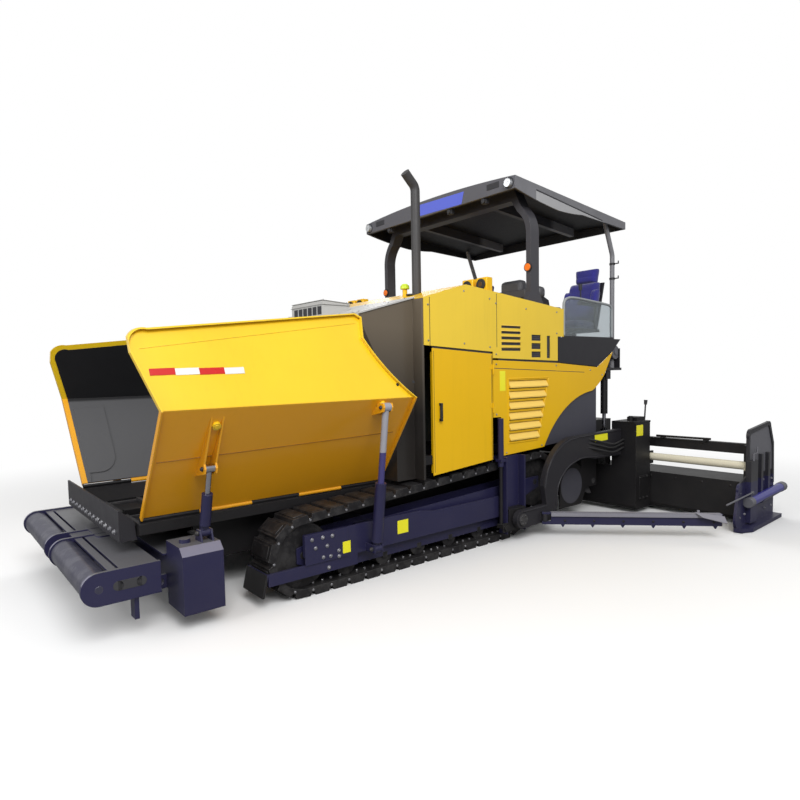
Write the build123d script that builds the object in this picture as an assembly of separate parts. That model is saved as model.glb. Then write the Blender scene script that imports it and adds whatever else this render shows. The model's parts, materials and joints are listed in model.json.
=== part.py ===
from build123d import *
import math
import os

# Asphalt paver on tracks, 6 m class, with its hopper wings part raised and its screed extended.
# Millimetres. +X points forward to the hopper, +Y to the machine's left, +Z up.
# The origin is on the ground, on the centreline, half-way along the machine.

# ---------------------------------------------------------------- driving dimensions
HALF_WIDTH = 1250            # tractor body, half its width
PANEL = 8                    # sheet-metal panels and doors
PLATE = 12                   # wear and structure plates
RUN = 0.3                    # running clearance of shafts and seated pieces

# tracks
TRACK_OUTER_Y = HALF_WIDTH - 30
TRACK_WIDTH = 300
SHOE_PITCH = 170
SHOE_HEIGHT = 30
SHOE_GAP = 26                # open space between two shoes at their base
SHOE_RAMP = 12               # slope of a shoe's edges, along the track
BELT = 40                    # chain links under the shoes
IDLER_X, IDLER_R = 1960, 295         # R is the radius to the shoes' base
LOWER_X, LOWER_R = -450, 150
SPROCKET_X, SPROCKET_Z, SPROCKET_R = -950, 520, 300
ROLLER_R = 90
ROLLER_COUNT = 6
WHEEL_WIDTH = 180
CHEEK = 15                   # side plates of a track frame

# main frame
FRAME_Y = 680                # outer face of the frame's side walls
FRAME_WALL = 40
FRAME_FRONT, FRAME_REAR = 2700, -1700
FRAME_LOW = 300
TUNNEL_FLOOR = 590           # top of the conveyor floor

# front bumper and push rollers
BUMPER_FRONT, BUMPER_REAR = 2930, 2640
BUMPER_LOW, BUMPER_HIGH = 125, 490
END_BOX_HIGH = 585
END_BOX_INNER_Y = HALF_WIDTH - 320
PIN_X, PIN_R = 3100, 40
PUSH_ROLLER_X, PUSH_ROLLER_Z, PUSH_ROLLER_R = 3430, 410, 98
PUSH_ROLLER_INNER_Y, PUSH_ROLLER_OUTER_Y = 120, HALF_WIDTH - 125
END_PLATE = 28               # thickness of the push beam's end plates
END_PLATE_R = 108
BEAM_REAR = 3045

# hopper
HINGE_Y, HINGE_Z = HALF_WIDTH - 380, 740          # axis of a wing's hinge
HINGE_R = 16
KNEE_Y, KNEE_Z = HALF_WIDTH + 230, 1535
TOP_Y, TOP_Z = HALF_WIDTH - 100, 2235
WING_SHEET, WING_FLANGE = 12, 28
LINER, LINER_INSET = 8, 45        # wear plates inside a wing, and how far they stay from its edge
WING_FRONT_LOW, WING_FRONT_KNEE, WING_FRONT_HIGH = 3085, 3110, 3225
WING_REAR_LOW, WING_REAR_KNEE, WING_REAR_TOP = 965, 1035, 1355
HOPPER_REAR = 940

# wing rams: name, x, base y, base z, eye y, eye z, barrel radius, barrel length, rod radius,
# length of rod inside the barrel
RAMS = (
    ("front", 2720, HALF_WIDTH - 135, 640, HALF_WIDTH - 2, 1112, 38, 300, 20, 88),
    ("rear", 1360, HALF_WIDTH + 90, 295, HALF_WIDTH + 250, 1468, 46, 560, 27, 185),
)

# body
HOOD_FRONT_X, BODY_X, BODY_REAR = 1330, 710, -1380
PEAK_X, PEAK_Z = 170, 2554
HOOD_FRONT_Z, BODY_FRONT_Z, BODY_REAR_Z = 2240, 2405, 2400
SPLIT_FRONT_Z, SPLIT_REAR_Z = 1980, 1924
DOOR_FRONT, DOOR_REAR = 616, -193
DOOR_GAP = 12
SILL_Z = 793
DECK_Z = 1740
DECK_REAR = -2600
RAIL_Z = 2090

# canopy
ROOF_FRONT, ROOF_REAR = -560, -2660
ROOF_FRONT_Z, ROOF_REAR_Z = 3700, 3520       # top edge of its sides
ROOF_SKIRT, ROOF_CROWN, ROOF_SHEET = 185, 55, 30

# tow points, arms and screed
GUIDE_FRONT, GUIDE_REAR = -300, -600
GUIDE_LOW, GUIDE_HIGH = 90, 868
GUIDE_Y = HALF_WIDTH             # face the tow blocks slide on
GUIDE_FLANGE = 18
TOW_X, TOW_Z = -450, 230
LEVEL_X, LEVEL_Y, LEVEL_R = -262, GUIDE_Y + 40, 17
ARM_IN, ARM_THICK = GUIDE_Y + 102, 60
ARM_OUT = ARM_IN + ARM_THICK
SCREED_Y = 1600              # half the basic paving width
SCREED_FRONT, SCREED_REAR = -2300, -2640
SCREED_LOW, SCREED_HIGH = 60, 560
BOX_Y, BOX_HIGH = 1080, 1100
END_BOX_INSIDE = 62          # how far the end boxes reach inward past the arms
SCREED_PLATE = 16
LIFT_X, LIFT_Y, LIFT_TOP, LIFT_LOW = -2345, HALF_WIDTH - 90, 1650, 790
LIFT_R, LIFT_BARREL, LIFT_ROD_R, LIFT_LUG_IN = 42, 470, 22, 46
EXTENSION_FRONT, EXTENSION_REAR = -2660, -3180
EXTENSION_INNER, EXTENSION_OUTER = 1150, 2650
GUIDE_TUBE_X, GUIDE_TUBE_Z, GUIDE_TUBE_R = -2700, 655, 45
GATE_IN = EXTENSION_OUTER + 20
GATE_FRONT, GATE_REAR, GATE_LOW, GATE_PLATE = -2295, -3540, 6, 16
SHIELD_FRONT, SHIELD_REAR, SHIELD_TOP = -2600, -3345, 1108
BRACE_R = 48

# auger and retaining blades
AUGER_X, AUGER_Z, AUGER_R, AUGER_SHAFT = -2050, 390, 170, 45
AUGER_PITCH, AUGER_INNER, AUGER_OUTER, AUGER_SHEET = 300, 60, 1180, 14
BLADE_X, BLADE_Y, BLADE_LENGTH, BLADE_ANGLE = -760, ARM_OUT + 38, 1730, 134
BLADE_LOW, BLADE_HIGH, BLADE_PIN_R = 110, 265, 12


# ---------------------------------------------------------------- helpers
def place(plane, u, v, w):
    """A point of a plane's outline, u and v along it and w square to it."""
    return {"xz": (u, w, v), "yz": (w, u, v), "xy": (u, v, w)}[plane]


def slab(plane, low, high, start, *steps):
    """A plate from low to high, square to the plane. A step is a point, or (middle, end) of an arc."""
    edges, here = [], start
    for step in steps + (start,):
        if isinstance(step[0], tuple):
            middle, end = step
            edges.append(Edge.make_three_point_arc(*(place(plane, *p, low) for p in (here, middle, end))))
        else:
            end = step
            if math.dist(here, end) > 0.001:
                edges.append(Edge.make_line(place(plane, *here, low), place(plane, *end, low)))
        here = end
    face = Face(Wire(edges))
    return Solid.extrude(face, Vector(*place(plane, 0, 0, high - low)))


def box(x0, x1, y0, y1, z0, z1):
    return Solid.make_box(x1 - x0, y1 - y0, z1 - z0, Plane((x0, y0, z0)))


def bar(start, end, radius):
    """A round bar from one point to another."""
    line = Vector(*end) - Vector(*start)
    return Solid.make_cylinder(radius, line.length, Plane(origin=start, z_dir=line))


def tube(radius, *points, bend=0):
    """A round tube or hose along points, its corners turned on arcs of the bend radius."""
    path = FilletPolyline(*points, radius=bend) if bend else Polyline(*points)
    start = path.wire() @ 0
    section = Plane(origin=start, z_dir=path.wire() % 0) * Circle(radius)
    return sweep(section, path=path).solid()


def mirrored(*shapes):
    return [shape.mirror(Plane.XZ) for shape in shapes]


def both(*shapes):
    """The shapes and their mirror images on the other side of the machine."""
    return list(shapes) + mirrored(*shapes)


def solids(*shapes):
    found = []
    for shape in shapes:
        if isinstance(shape, (list, tuple)):
            found += solids(*shape)
        else:
            found += shape.solids()
    return found


def join(*shapes):
    first, *rest = solids(*shapes)
    return solids(first.fuse(*rest))


def cut(shapes, *tools):
    """The shapes less the tools, as a list of solids."""
    found = []
    for shape in solids(shapes):
        found += solids(shape.cut(*solids(*tools)))
    return found


def between(a, b, x):
    """Height of the line from point a to point b at x."""
    return a[1] + (b[1] - a[1]) * (x - a[0]) / (b[0] - a[0])


# ---------------------------------------------------------------- tracks
LOWER_Z = SHOE_HEIGHT + LOWER_R
IDLER_Z = SHOE_HEIGHT + IDLER_R


def loop(shrink=0.0):
    """The track's path round its three wheels, counter-clockwise: lines and arcs, with their lengths."""
    wheels = (
        (LOWER_X, LOWER_Z, LOWER_R), (IDLER_X, IDLER_Z, IDLER_R), (SPROCKET_X, SPROCKET_Z, SPROCKET_R),
    )
    turns = []
    for (ax, az, ar), (bx, bz, br) in zip(wheels, wheels[1:] + wheels[:1]):
        heading = math.atan2(bz - az, bx - ax)
        turns.append(heading - math.acos((ar - br) / math.dist((ax, az), (bx, bz))))
    pieces = []
    for i, (bx, bz, br) in enumerate(wheels):
        before, after = turns[i - 1], turns[i]
        while after < before:
            after += 2 * math.pi
        radius = br - shrink
        pieces.append(("arc", (bx, bz), radius, before, after, radius * (after - before)))
        cx, cz, cr = wheels[(i + 1) % 3]
        normal = Vector(math.cos(after), math.sin(after))
        start = Vector(bx, bz) + normal * radius
        end = Vector(cx, cz) + normal * (cr - shrink)
        pieces.append(("line", start, end, after, after, (end - start).length))
    return pieces


def on_loop(pieces, s, height):
    """The point a distance s along the path and a height out from it."""
    s %= sum(piece[-1] for piece in pieces)
    for kind, a, b, turn0, turn1, length in pieces:
        if s <= length:
            break
        s -= length
    if kind == "arc":
        angle = turn0 + (turn1 - turn0) * s / length
        return a[0] + (b + height) * math.cos(angle), a[1] + (b + height) * math.sin(angle)
    point = a + (b - a) * (s / length) + Vector(math.cos(turn0), math.sin(turn0)) * height
    return point.X, point.Y


def track():
    """The left track: shoes standing on a belt of links, one closed loop."""
    outer = loop()
    length = sum(piece[-1] for piece in outer)
    count = round(length / SHOE_PITCH)
    pitch = length / count
    edge = []
    for k in range(count):
        for along, height in (
            (SHOE_GAP / 2, 0),
            (SHOE_GAP / 2 + SHOE_RAMP, SHOE_HEIGHT),
            (pitch - SHOE_GAP / 2 - SHOE_RAMP, SHOE_HEIGHT),
            (pitch - SHOE_GAP / 2, 0),
        ):
            edge.append(on_loop(outer, k * pitch + along, height))
    low = TRACK_OUTER_Y - TRACK_WIDTH
    body = slab("xz", low, TRACK_OUTER_Y, edge[0], *edge[1:])
    steps = []
    for kind, a, b, turn0, turn1, _ in loop(BELT):
        if kind == "arc":
            x, z = a
            middle = (turn0 + turn1) / 2
            for angle in (middle, turn1):
                steps.append((x + b * math.cos(angle), z + b * math.sin(angle)))
            start = (x + b * math.cos(turn0), z + b * math.sin(turn0))
            steps[-2:] = [start, (steps[-2], steps[-1])]
        else:
            steps.append((b.X, b.Y))
    inside = slab("xz", low - 1, TRACK_OUTER_Y + 1, steps[0], *steps[1:])
    return cut(body, inside)


WHEEL_Y = TRACK_OUTER_Y - TRACK_WIDTH / 2        # middle of a track
ROLLER_Z = SHOE_HEIGHT + BELT + RUN + ROLLER_R
ROLLER_SHAFT = 26                                # half of a roller's square shaft
CHEEK_Y = WHEEL_WIDTH / 2 + 5                    # from a track's middle to a cheek
AXLE_R = 30
FRAME_TOP = 465
GUARD_LOW, GUARD_HIGH = 262, 500                 # outer guard plate
GUARD_PLATE = 25
GUARD_FRONT = IDLER_X + 30
SKIRT_LOW, SCRAPER_X = 170, IDLER_X + IDLER_R + SHOE_HEIGHT + 15
# half the space between a ram's two lugs, and a lug's thickness
LUG_IN, LUG_PLATE = 34, 12


def big_wheels():
    """Centre and radius of the idler and the sprocket, inside the belt."""
    return [(IDLER_X, IDLER_Z, IDLER_R - BELT - RUN), (SPROCKET_X, SPROCKET_Z, SPROCKET_R - BELT - RUN)]


def roller_places():
    """Where the rollers stand along the lower run."""
    front = IDLER_X - IDLER_R - ROLLER_R - 30
    return [LOWER_X + (front - LOWER_X) * k / (ROLLER_COUNT - 1) for k in range(ROLLER_COUNT)]


def square_shaft(x, half, reach):
    return box(x - half, x + half, WHEEL_Y - reach, WHEEL_Y + reach, ROLLER_Z - half, ROLLER_Z + half)


def track_wheels():
    """Left idler, sprocket and rollers, each on its own axle between the frame's cheeks."""
    inner, outer = WHEEL_Y - WHEEL_WIDTH / 2, WHEEL_Y + WHEEL_WIDTH / 2
    reach = CHEEK_Y + CHEEK
    pieces = []
    for x, z, radius in big_wheels():
        wheel = bar((x, inner, z), (x, outer, z), radius)
        axle = bar((x, WHEEL_Y - reach, z), (x, WHEEL_Y + reach, z), AXLE_R - RUN)
        pieces += join(wheel, axle)
    for x in roller_places():
        roller = bar((x, inner, ROLLER_Z), (x, outer, ROLLER_Z), ROLLER_R)
        pieces += join(roller, square_shaft(x, ROLLER_SHAFT - RUN, reach))
    return pieces


def track_frame():
    """Left track frame: cheeks, cross boxes, guard plates, the scraper and the arms to the main frame."""
    x0, x1 = LOWER_X - 110, IDLER_X + 60
    nose = 60
    outline = (
        (x0, 150),
        (IDLER_X - IDLER_R + 20, 150),
        (x1, IDLER_Z - nose),
        (x1, IDLER_Z + nose),
        (IDLER_X - IDLER_R, FRAME_TOP),
        (SPROCKET_X + 150, FRAME_TOP + 110),
        (SPROCKET_X - nose, SPROCKET_Z + nose),
        (SPROCKET_X - nose, SPROCKET_Z - nose),
        (x0, 330),
    )
    cheeks = [
        slab("xz", WHEEL_Y - CHEEK_Y - CHEEK, WHEEL_Y - CHEEK_Y, *outline),
        slab("xz", WHEEL_Y + CHEEK_Y, WHEEL_Y + CHEEK_Y + CHEEK, *outline),
    ]
    holes = [bar((x, 0, z), (x, 2 * HALF_WIDTH, z), AXLE_R) for x, z, _ in big_wheels()]
    holes += [square_shaft(x, ROLLER_SHAFT, HALF_WIDTH / 2) for x in roller_places()]
    parts = cut(cheeks, *holes)
    arm_places = (LOWER_X + 300, IDLER_X - 710)
    crosses = [
        box(x - 90, x + 90, WHEEL_Y - CHEEK_Y, WHEEL_Y + CHEEK_Y, ROLLER_Z + ROLLER_R + 8, FRAME_TOP - 25)
        for x in (*arm_places, sum(arm_places) / 2)
    ]
    guard_in = HALF_WIDTH - GUARD_PLATE
    spacers = [
        box(x - 60, x + 60, WHEEL_Y + CHEEK_Y + CHEEK, guard_in, 300, 440)
        for x in (arm_places[0], 800, IDLER_X - 410)
    ]
    arms = [box(x - 100, x + 100, FRAME_Y, WHEEL_Y - CHEEK_Y - CHEEK, 310, 450) for x in arm_places]
    return join(parts, crosses, guards(guard_in), spacers, arms, ram_feet())


def guards(inner):
    """Outer guard in two levels, the lower skirt under its front, and the scraper before the track."""
    rear_end, step = GUIDE_FRONT + 20, 620
    rear = slab(
        "xz", inner, HALF_WIDTH,
        (rear_end, GUARD_LOW), (GUARD_FRONT - 60, GUARD_LOW), (GUARD_FRONT, 330), (GUARD_FRONT, GUARD_HIGH),
        (step + 180, GUARD_HIGH), (step, GUARD_HIGH - 30), (rear_end, GUARD_HIGH - 30),
    )
    front = box(GUARD_FRONT - 400, GUARD_FRONT, HALF_WIDTH - 1, HALF_WIDTH + 10, GUARD_LOW, GUARD_HIGH)
    skirt = box(GUARD_FRONT - 500, SCRAPER_X + 1, inner, HALF_WIDTH, SKIRT_LOW, GUARD_LOW + 1)
    scraper = slab(
        "xz", TRACK_OUTER_Y - TRACK_WIDTH, HALF_WIDTH,
        (SCRAPER_X, GUARD_LOW + 1), (SCRAPER_X + 16, GUARD_LOW + 1), (SCRAPER_X + 56, 95),
        (SCRAPER_X + 40, 95),
    )
    return [rear, front, skirt, scraper]


def ram_feet():
    """The two lugs on the guard plate under the rear ram."""
    _, x, y, z, *_ = RAMS[1]
    lugs = []
    for side in (-1, 1):
        near = x + side * (LUG_IN + LUG_PLATE / 2)
        lugs.append(box(near - LUG_PLATE / 2, near + LUG_PLATE / 2, HALF_WIDTH - 2, y + 35, z - 30, z + 35))
    return lugs


# ---------------------------------------------------------------- frame, bumper and push rollers
def main_frame():
    """Side walls, floor and the conveyor floor of the tractor's frame, with its rear lashing eyes."""
    inner = FRAME_Y - FRAME_WALL
    front = FRAME_FRONT - 60
    walls = both(box(FRAME_REAR, front, inner, FRAME_Y, FRAME_LOW, TUNNEL_FLOOR))
    floor = box(FRAME_REAR, front, -inner, inner, FRAME_LOW, FRAME_LOW + 20)
    deck = box(FRAME_REAR - 60, HINGE_X1 + 10, -inner, inner, TUNNEL_FLOOR - 20, TUNNEL_FLOOR)
    rear = box(FRAME_REAR, FRAME_REAR + 40, -inner, inner, FRAME_LOW, TUNNEL_FLOOR - 20)
    eyes = both(*lashing_lug("xy", FRAME_REAR, -1, inner - LASH_OUT, FRAME_LOW))
    hub_end = WHEEL_Y - CHEEK_Y - CHEEK - RUN
    hubs = both(bar((SPROCKET_X, FRAME_Y, SPROCKET_Z), (SPROCKET_X, hub_end, SPROCKET_Z), 150))
    return join(walls, floor, deck, rear, hubs, eyes)


def tunnel_housing():
    """The conveyor tunnel's walls and roof, which carries the engine, and the outriggers under the hood."""
    inner, front = FRAME_Y - FRAME_WALL, HOPPER_REAR - PLATE - RUN
    walls = both(box(FRAME_REAR, front, inner, FRAME_Y, TUNNEL_FLOOR + RUN, SHELF_Z))
    shelf = box(FRAME_REAR, front, -inner, inner, SHELF_Z - 40, SHELF_Z)
    reach = HALF_WIDTH - PANEL - RUN
    outriggers = both(*(box(x - 40, x + 40, FRAME_Y, reach, SHELF_Z - 80, SHELF_Z) for x in (665, -385)))
    return join(walls, shelf, outriggers)


def hopper_beams():
    """The beams that carry the wings' hinge tubes, and the divider between the two conveyors."""
    inner, low = FRAME_Y - FRAME_WALL, TUNNEL_FLOOR + RUN
    top = HINGE_Z - 23
    beam = slab(
        "yz", HOPPER_REAR - PLATE, HINGE_X1 + 10,
        (inner, low), (FRAME_Y, low), (HINGE_Y + 25, HINGE_Z - 100), (HINGE_Y + 25, top),
        (HINGE_Y - 30, top),
        (inner, low + 30),
    )
    knuckles = hinge_knuckles(True)
    saddles = []
    for knuckle in knuckles:
        span = knuckle.bounding_box()
        saddles.append(box(span.min.X, span.max.X, HINGE_Y - 8, HINGE_Y + 8, top - 7, HINGE_Z))
    divider = box(HOPPER_REAR, HINGE_X1 - 120, -30, 30, low, TUNNEL_FLOOR + 60)
    return [*both(*join(beam, knuckles, saddles)), divider]


HINGE_X0, HINGE_X1 = WING_REAR_LOW, WING_FRONT_LOW
SHELF_Z = 980                # top of the conveyor tunnel, where the engine stands
LASH_R, LASH_OUT, LASH_PLATE = 26, 50, 30     # a lashing eye's hole, its lug's radius and thickness


def lashing_lug(plane, root_x, side, centre, low):
    """A plate with a round eye for a chain hook, standing out from root_x towards side."""
    root, eye = root_x - side, root_x + side * (LASH_OUT - 5)
    plate = slab(
        plane, low, low + LASH_PLATE,
        (root, centre - LASH_OUT), (eye, centre - LASH_OUT),
        ((eye + side * LASH_OUT, centre), (eye, centre + LASH_OUT)), (root, centre + LASH_OUT),
    )
    ends = [place(plane, eye, centre, w) for w in (low - 1, low + LASH_PLATE + 1)]
    return cut(plate, bar(*ends, LASH_R))


def ram_lugs(row, foot):
    """The two lugs under a ram's base eye, standing on a face at height foot."""
    _, x, y, z, *_ = row
    pieces = []
    for side in (-1, 1):
        near = x + side * (LUG_IN + LUG_PLATE / 2)
        pieces.append(slab(
            "yz", near - LUG_PLATE / 2, near + LUG_PLATE / 2,
            (y - 60, foot), (y + 60, foot), (y + 30, z + 25), (y - 30, z + 25),
        ))
    return pieces


def front_bumper():
    """Cross box with chamfered end boxes, fixed deck and the tongue that carries the push beam's pin."""
    cross = box(
        BUMPER_REAR, BUMPER_FRONT, -END_BOX_INNER_Y, END_BOX_INNER_Y, BUMPER_LOW + 110,
        BUMPER_HIGH - 12,
    )
    chamfer = 55
    end = slab(
        "yz", BUMPER_REAR, BUMPER_FRONT,
        (END_BOX_INNER_Y, BUMPER_LOW), (HALF_WIDTH, BUMPER_LOW), (HALF_WIDTH, END_BOX_HIGH - chamfer),
        (HALF_WIDTH - chamfer, END_BOX_HIGH), (END_BOX_INNER_Y, END_BOX_HIGH),
    )
    boss = bar((BUMPER_FRONT - 80, 1080, END_BOX_HIGH), (BUMPER_FRONT - 80, 1080, END_BOX_HIGH + 28), 38)
    lugs = ram_lugs(RAMS[0], END_BOX_HIGH)
    deck = box(
        BUMPER_REAR, BUMPER_FRONT + 25, -END_BOX_INNER_Y, END_BOX_INNER_Y, BUMPER_HIGH - 12,
        BUMPER_HIGH,
    )
    tongue = box(BUMPER_FRONT, PIN_X + 110, -260, 260, BUMPER_LOW + 110, TONGUE_HIGH)
    pin = bar((PIN_X, 0, TONGUE_HIGH), (PIN_X, 0, BEAM_HIGH + 14), PIN_R)
    eye = lashing_lug("xz", BUMPER_FRONT, 1, BUMPER_LOW + 110 + LASH_OUT, END_BOX_INNER_Y - 50)
    return join(cross, both(end, boss, *lugs, *eye), deck, tongue, pin)


TONGUE_HIGH = 296
BEAM_HIGH = 505
BEAM_PLATE = 16


def push_beam():
    """Oscillating beam: deck with slots, box under it, hub on the pin and the roller's end plates."""
    plates = []
    for y in (PUSH_ROLLER_INNER_Y - END_PLATE - 6, PUSH_ROLLER_OUTER_Y + 6):
        plates.append(slab(
            "xz", y, y + END_PLATE,
            (PUSH_ROLLER_X, PUSH_ROLLER_Z + END_PLATE_R),
            (BEAM_REAR, PUSH_ROLLER_Z + END_PLATE_R), (BEAM_REAR, PUSH_ROLLER_Z - END_PLATE_R),
            (PUSH_ROLLER_X, PUSH_ROLLER_Z - END_PLATE_R),
            ((PUSH_ROLLER_X + END_PLATE_R, PUSH_ROLLER_Z), (PUSH_ROLLER_X, PUSH_ROLLER_Z + END_PLATE_R)),
        ))
    front = PUSH_ROLLER_X - PUSH_ROLLER_R - 12
    outer = PUSH_ROLLER_OUTER_Y + 6
    deck = box(BEAM_REAR, front + 40, -outer, outer, BEAM_HIGH - BEAM_PLATE, BEAM_HIGH)
    slots = both(box(front - 30, front - 12, 90, outer - 51, BEAM_HIGH - 40, BEAM_HIGH + 1))
    web = box(front - 110, front - 90, -outer, outer, TONGUE_HIGH + RUN, BEAM_HIGH - BEAM_PLATE)
    hub = bar((PIN_X, 0, TONGUE_HIGH + RUN), (PIN_X, 0, BEAM_HIGH), 120)
    pivot_plate = slab(
        "xy", BEAM_HIGH, BEAM_HIGH + 10,
        (PIN_X - 40, -210), (PIN_X + 90, -210), ((PIN_X + 111, -201), (PIN_X + 120, -180)),
        (PIN_X + 120, 180),
        ((PIN_X + 111, 201), (PIN_X + 90, 210)), (PIN_X - 40, 210),
    )
    bore = bar((PIN_X, 0, 0), (PIN_X, 0, 900), PIN_R + RUN)
    shafts = [bar((PUSH_ROLLER_X, 0, PUSH_ROLLER_Z), (PUSH_ROLLER_X, 1400, PUSH_ROLLER_Z), PUSH_SHAFT_R)]
    body = join(both(*plates), deck, web, hub, pivot_plate)
    flap = both(box(3185, 3215, outer - 91, outer, 150, BEAM_HIGH - BEAM_PLATE))
    return cut(join(cut(body, bore, slots), flap), both(*shafts))


PUSH_SHAFT_R = 25


def push_roller():
    """Left push roller with its shaft ends in the beam's end plates."""
    x, z = PUSH_ROLLER_X, PUSH_ROLLER_Z
    drum = bar((x, PUSH_ROLLER_INNER_Y, z), (x, PUSH_ROLLER_OUTER_Y, z), PUSH_ROLLER_R)
    reach = 6 + END_PLATE
    shaft = bar(
        (x, PUSH_ROLLER_INNER_Y - reach, z), (x, PUSH_ROLLER_OUTER_Y + reach, z), PUSH_SHAFT_R - 0.05,
    )
    return join(drum, shaft)


# ---------------------------------------------------------------- hopper
def hopper_plates():
    """Front apron, rear wall above the conveyor tunnel, and the wings' hinge knuckles on the frame."""
    apron = slab(
        "xz", -830, 830,
        (HINGE_X1 + 10, 600), (3215, 600), (3215, 820), (3200, 820), (3200, 612), (HINGE_X1 + 10, 612),
    )
    ends = both(slab("xz", 818, 830, (3199, 611), (3201, 820), (3110, 735), (3100, 611)))
    wall = both(box(
        HOPPER_REAR - PLATE, HOPPER_REAR, FRAME_Y - FRAME_WALL, HINGE_Y - 30, HINGE_Z - 20, SILL_Z - 30,
    ))
    return join(apron, ends) + wall


def hinge_knuckles(on_frame):
    """Tubes along the left wing's hinge axis; frame and wing knuckles take turns."""
    count = 5
    step = (HINGE_X1 - HINGE_X0) / count
    gap = RUN / 2
    pieces = []
    for k in range(count):
        if (k % 2 == 0) == on_frame:
            pieces.append(bar((HINGE_X0 + k * step + gap, HINGE_Y, HINGE_Z),
                              (HINGE_X0 + (k + 1) * step - gap, HINGE_Y, HINGE_Z), HINGE_R))
    return pieces


def wing_line(depth):
    """The wing's section, its foot, knee and top, moved inward from its outer face by a depth."""
    hinge, knee, top = Vector(HINGE_Y, HINGE_Z), Vector(KNEE_Y, KNEE_Z), Vector(TOP_Y, TOP_Z)
    lower, upper = (knee - hinge).normalized(), (top - knee).normalized()
    inward_low, inward_up = Vector(-lower.Y, lower.X), Vector(-upper.Y, upper.X)
    half = (inward_low + inward_up) * 0.5
    foot = hinge + lower * (HINGE_R + 6)
    return [foot + inward_low * depth, knee + half * (depth / half.length ** 2), top + inward_up * depth]


def wing_layer(near, far, outline):
    """A bent sheet between two depths, trimmed to an outline seen from the side."""
    section = wing_line(near) + wing_line(far)[::-1]
    sheet = slab("yz", WING_REAR_LOW, WING_FRONT_HIGH, *((p.X, p.Y) for p in section))
    return solids(sheet.intersect(outline))


def wing_outline(inset=0):
    """The wing's edge seen from the side, its front top corner rounded and its rear end swept."""
    i = inset
    return slab(
        "xz", HINGE_Y - 100, KNEE_Y + 200,
        (WING_REAR_LOW + i, HINGE_Z - 30), (WING_FRONT_LOW - i, HINGE_Z - 30),
        (WING_FRONT_KNEE - i, KNEE_Z),
        (WING_FRONT_HIGH - i, TOP_Z - 335),
        ((WING_FRONT_HIGH - 8 - i, TOP_Z - 222 - i / 2), (WING_FRONT_HIGH - 125 - i / 2, TOP_Z - 175 - i)),
        (WING_REAR_TOP + 60 + i / 2, TOP_Z - i), (WING_REAR_TOP + i, TOP_Z - 30 - i),
        (WING_REAR_TOP + 45 + i, TOP_Z - 205),
        ((WING_REAR_KNEE + 195 + i, KNEE_Z + 205), (WING_REAR_KNEE + i, KNEE_Z)),
    )


def wing():
    """Left hopper wing: two bent sheets, a flange folded outward round them and the rams' forks."""
    whole = wing_outline()
    panel = wing_layer(0, WING_SHEET, whole)
    flange = wing_layer(-WING_FLANGE, 1, cut(whole, wing_outline(WING_SHEET))[0])
    webs = []
    for knuckle in hinge_knuckles(False):
        reach = knuckle.bounding_box()
        hinge, foot, inside = Vector(HINGE_Y, HINGE_Z), wing_line(0)[0], wing_line(WING_SHEET)[0]
        along = (foot - hinge).normalized() * 2
        corners = [hinge, foot + along, inside + along, hinge + inside - foot]
        webs.append(slab("yz", reach.min.X, reach.max.X, *((p.X, p.Y) for p in corners)))
    return join(panel, flange, hinge_knuckles(False), webs, wing_forks())


def wing_liner():
    """Dark wear plates bolted inside the left wing, with the raised corner plate at its front."""
    start = WING_SHEET + RUN
    liner = wing_layer(start, start + LINER, wing_outline(LINER_INSET))
    patch = slab(
        "xz", HINGE_Y - 100, KNEE_Y + 200,
        (WING_FRONT_LOW - 75, HINGE_Z), (WING_FRONT_KNEE - 75, KNEE_Z - 90),
        (WING_FRONT_LOW - 330, KNEE_Z - 90), (WING_FRONT_LOW - 330, HINGE_Z + 260),
        ((WING_FRONT_LOW - 290, HINGE_Z + 160), (WING_FRONT_LOW - 190, HINGE_Z + 110)),
        (WING_FRONT_LOW - 75, HINGE_Z + 110),
    )
    return join(liner, wing_layer(start, start + 2 * LINER, patch))


def on_wing(z):
    """Outer face of the left wing at a height."""
    if z < KNEE_Z:
        return HINGE_Y + (KNEE_Y - HINGE_Y) * (z - HINGE_Z) / (KNEE_Z - HINGE_Z)
    return KNEE_Y + (TOP_Y - KNEE_Y) * (z - KNEE_Z) / (TOP_Z - KNEE_Z)


def wing_forks():
    """A fork for each ram's eye: two cheeks that run on up the wing as ribs."""
    pieces = []
    for _, x, _, _, y, z, *_ in RAMS:
        low, high = z - 70, min(z + 380, KNEE_Z - 40)
        for side in (-1, 1):
            near = x + side * (LUG_IN + 7)
            pieces.append(slab(
                "yz", near - 7, near + 7,
                (on_wing(low) - 4, low), (on_wing(high) - 4, high), (y + 25, z + 35), (y + 38, z),
                (y + 25, z - 35),
            ))
    return pieces


def ram_geometry(row):
    _, x, y0, z0, y1, z1, barrel_r, barrel, rod_r, _ = row
    base, eye = Vector(x, y0, z0), Vector(x, y1, z1)
    return base, eye, (eye - base).normalized(), barrel_r, barrel, rod_r


def ram_eye(centre, radius):
    """A ram's eye, across the space between its lugs."""
    half = LUG_IN - RUN
    return bar((centre.X - half, centre.Y, centre.Z), (centre.X + half, centre.Y, centre.Z), radius)


def ram_barrel(row):
    """A ram's barrel: its base eye, a slimmer neck between the lugs, and the bored cylinder."""
    base, _, along, radius, length, rod_r = ram_geometry(row)
    end = base + along * length
    neck = box(base.X - LUG_IN + 8, base.X + LUG_IN - 8, base.Y - 20, base.Y + 20, base.Z - 5, base.Z + 75)
    body = bar(tuple(base + along * 60), tuple(end), radius)
    bore = bar(tuple(base + along * 75), tuple(end + along), rod_r + RUN)
    return cut(join(body, neck, ram_eye(base, radius * 0.8)), bore)


def ram_rod(row):
    base, eye, along, radius, length, rod_r = ram_geometry(row)
    rod = bar(tuple(base + along * (length - row[-1])), tuple(eye - along * 5), rod_r)
    return join(rod, ram_eye(eye, rod_r + 9))


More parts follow.
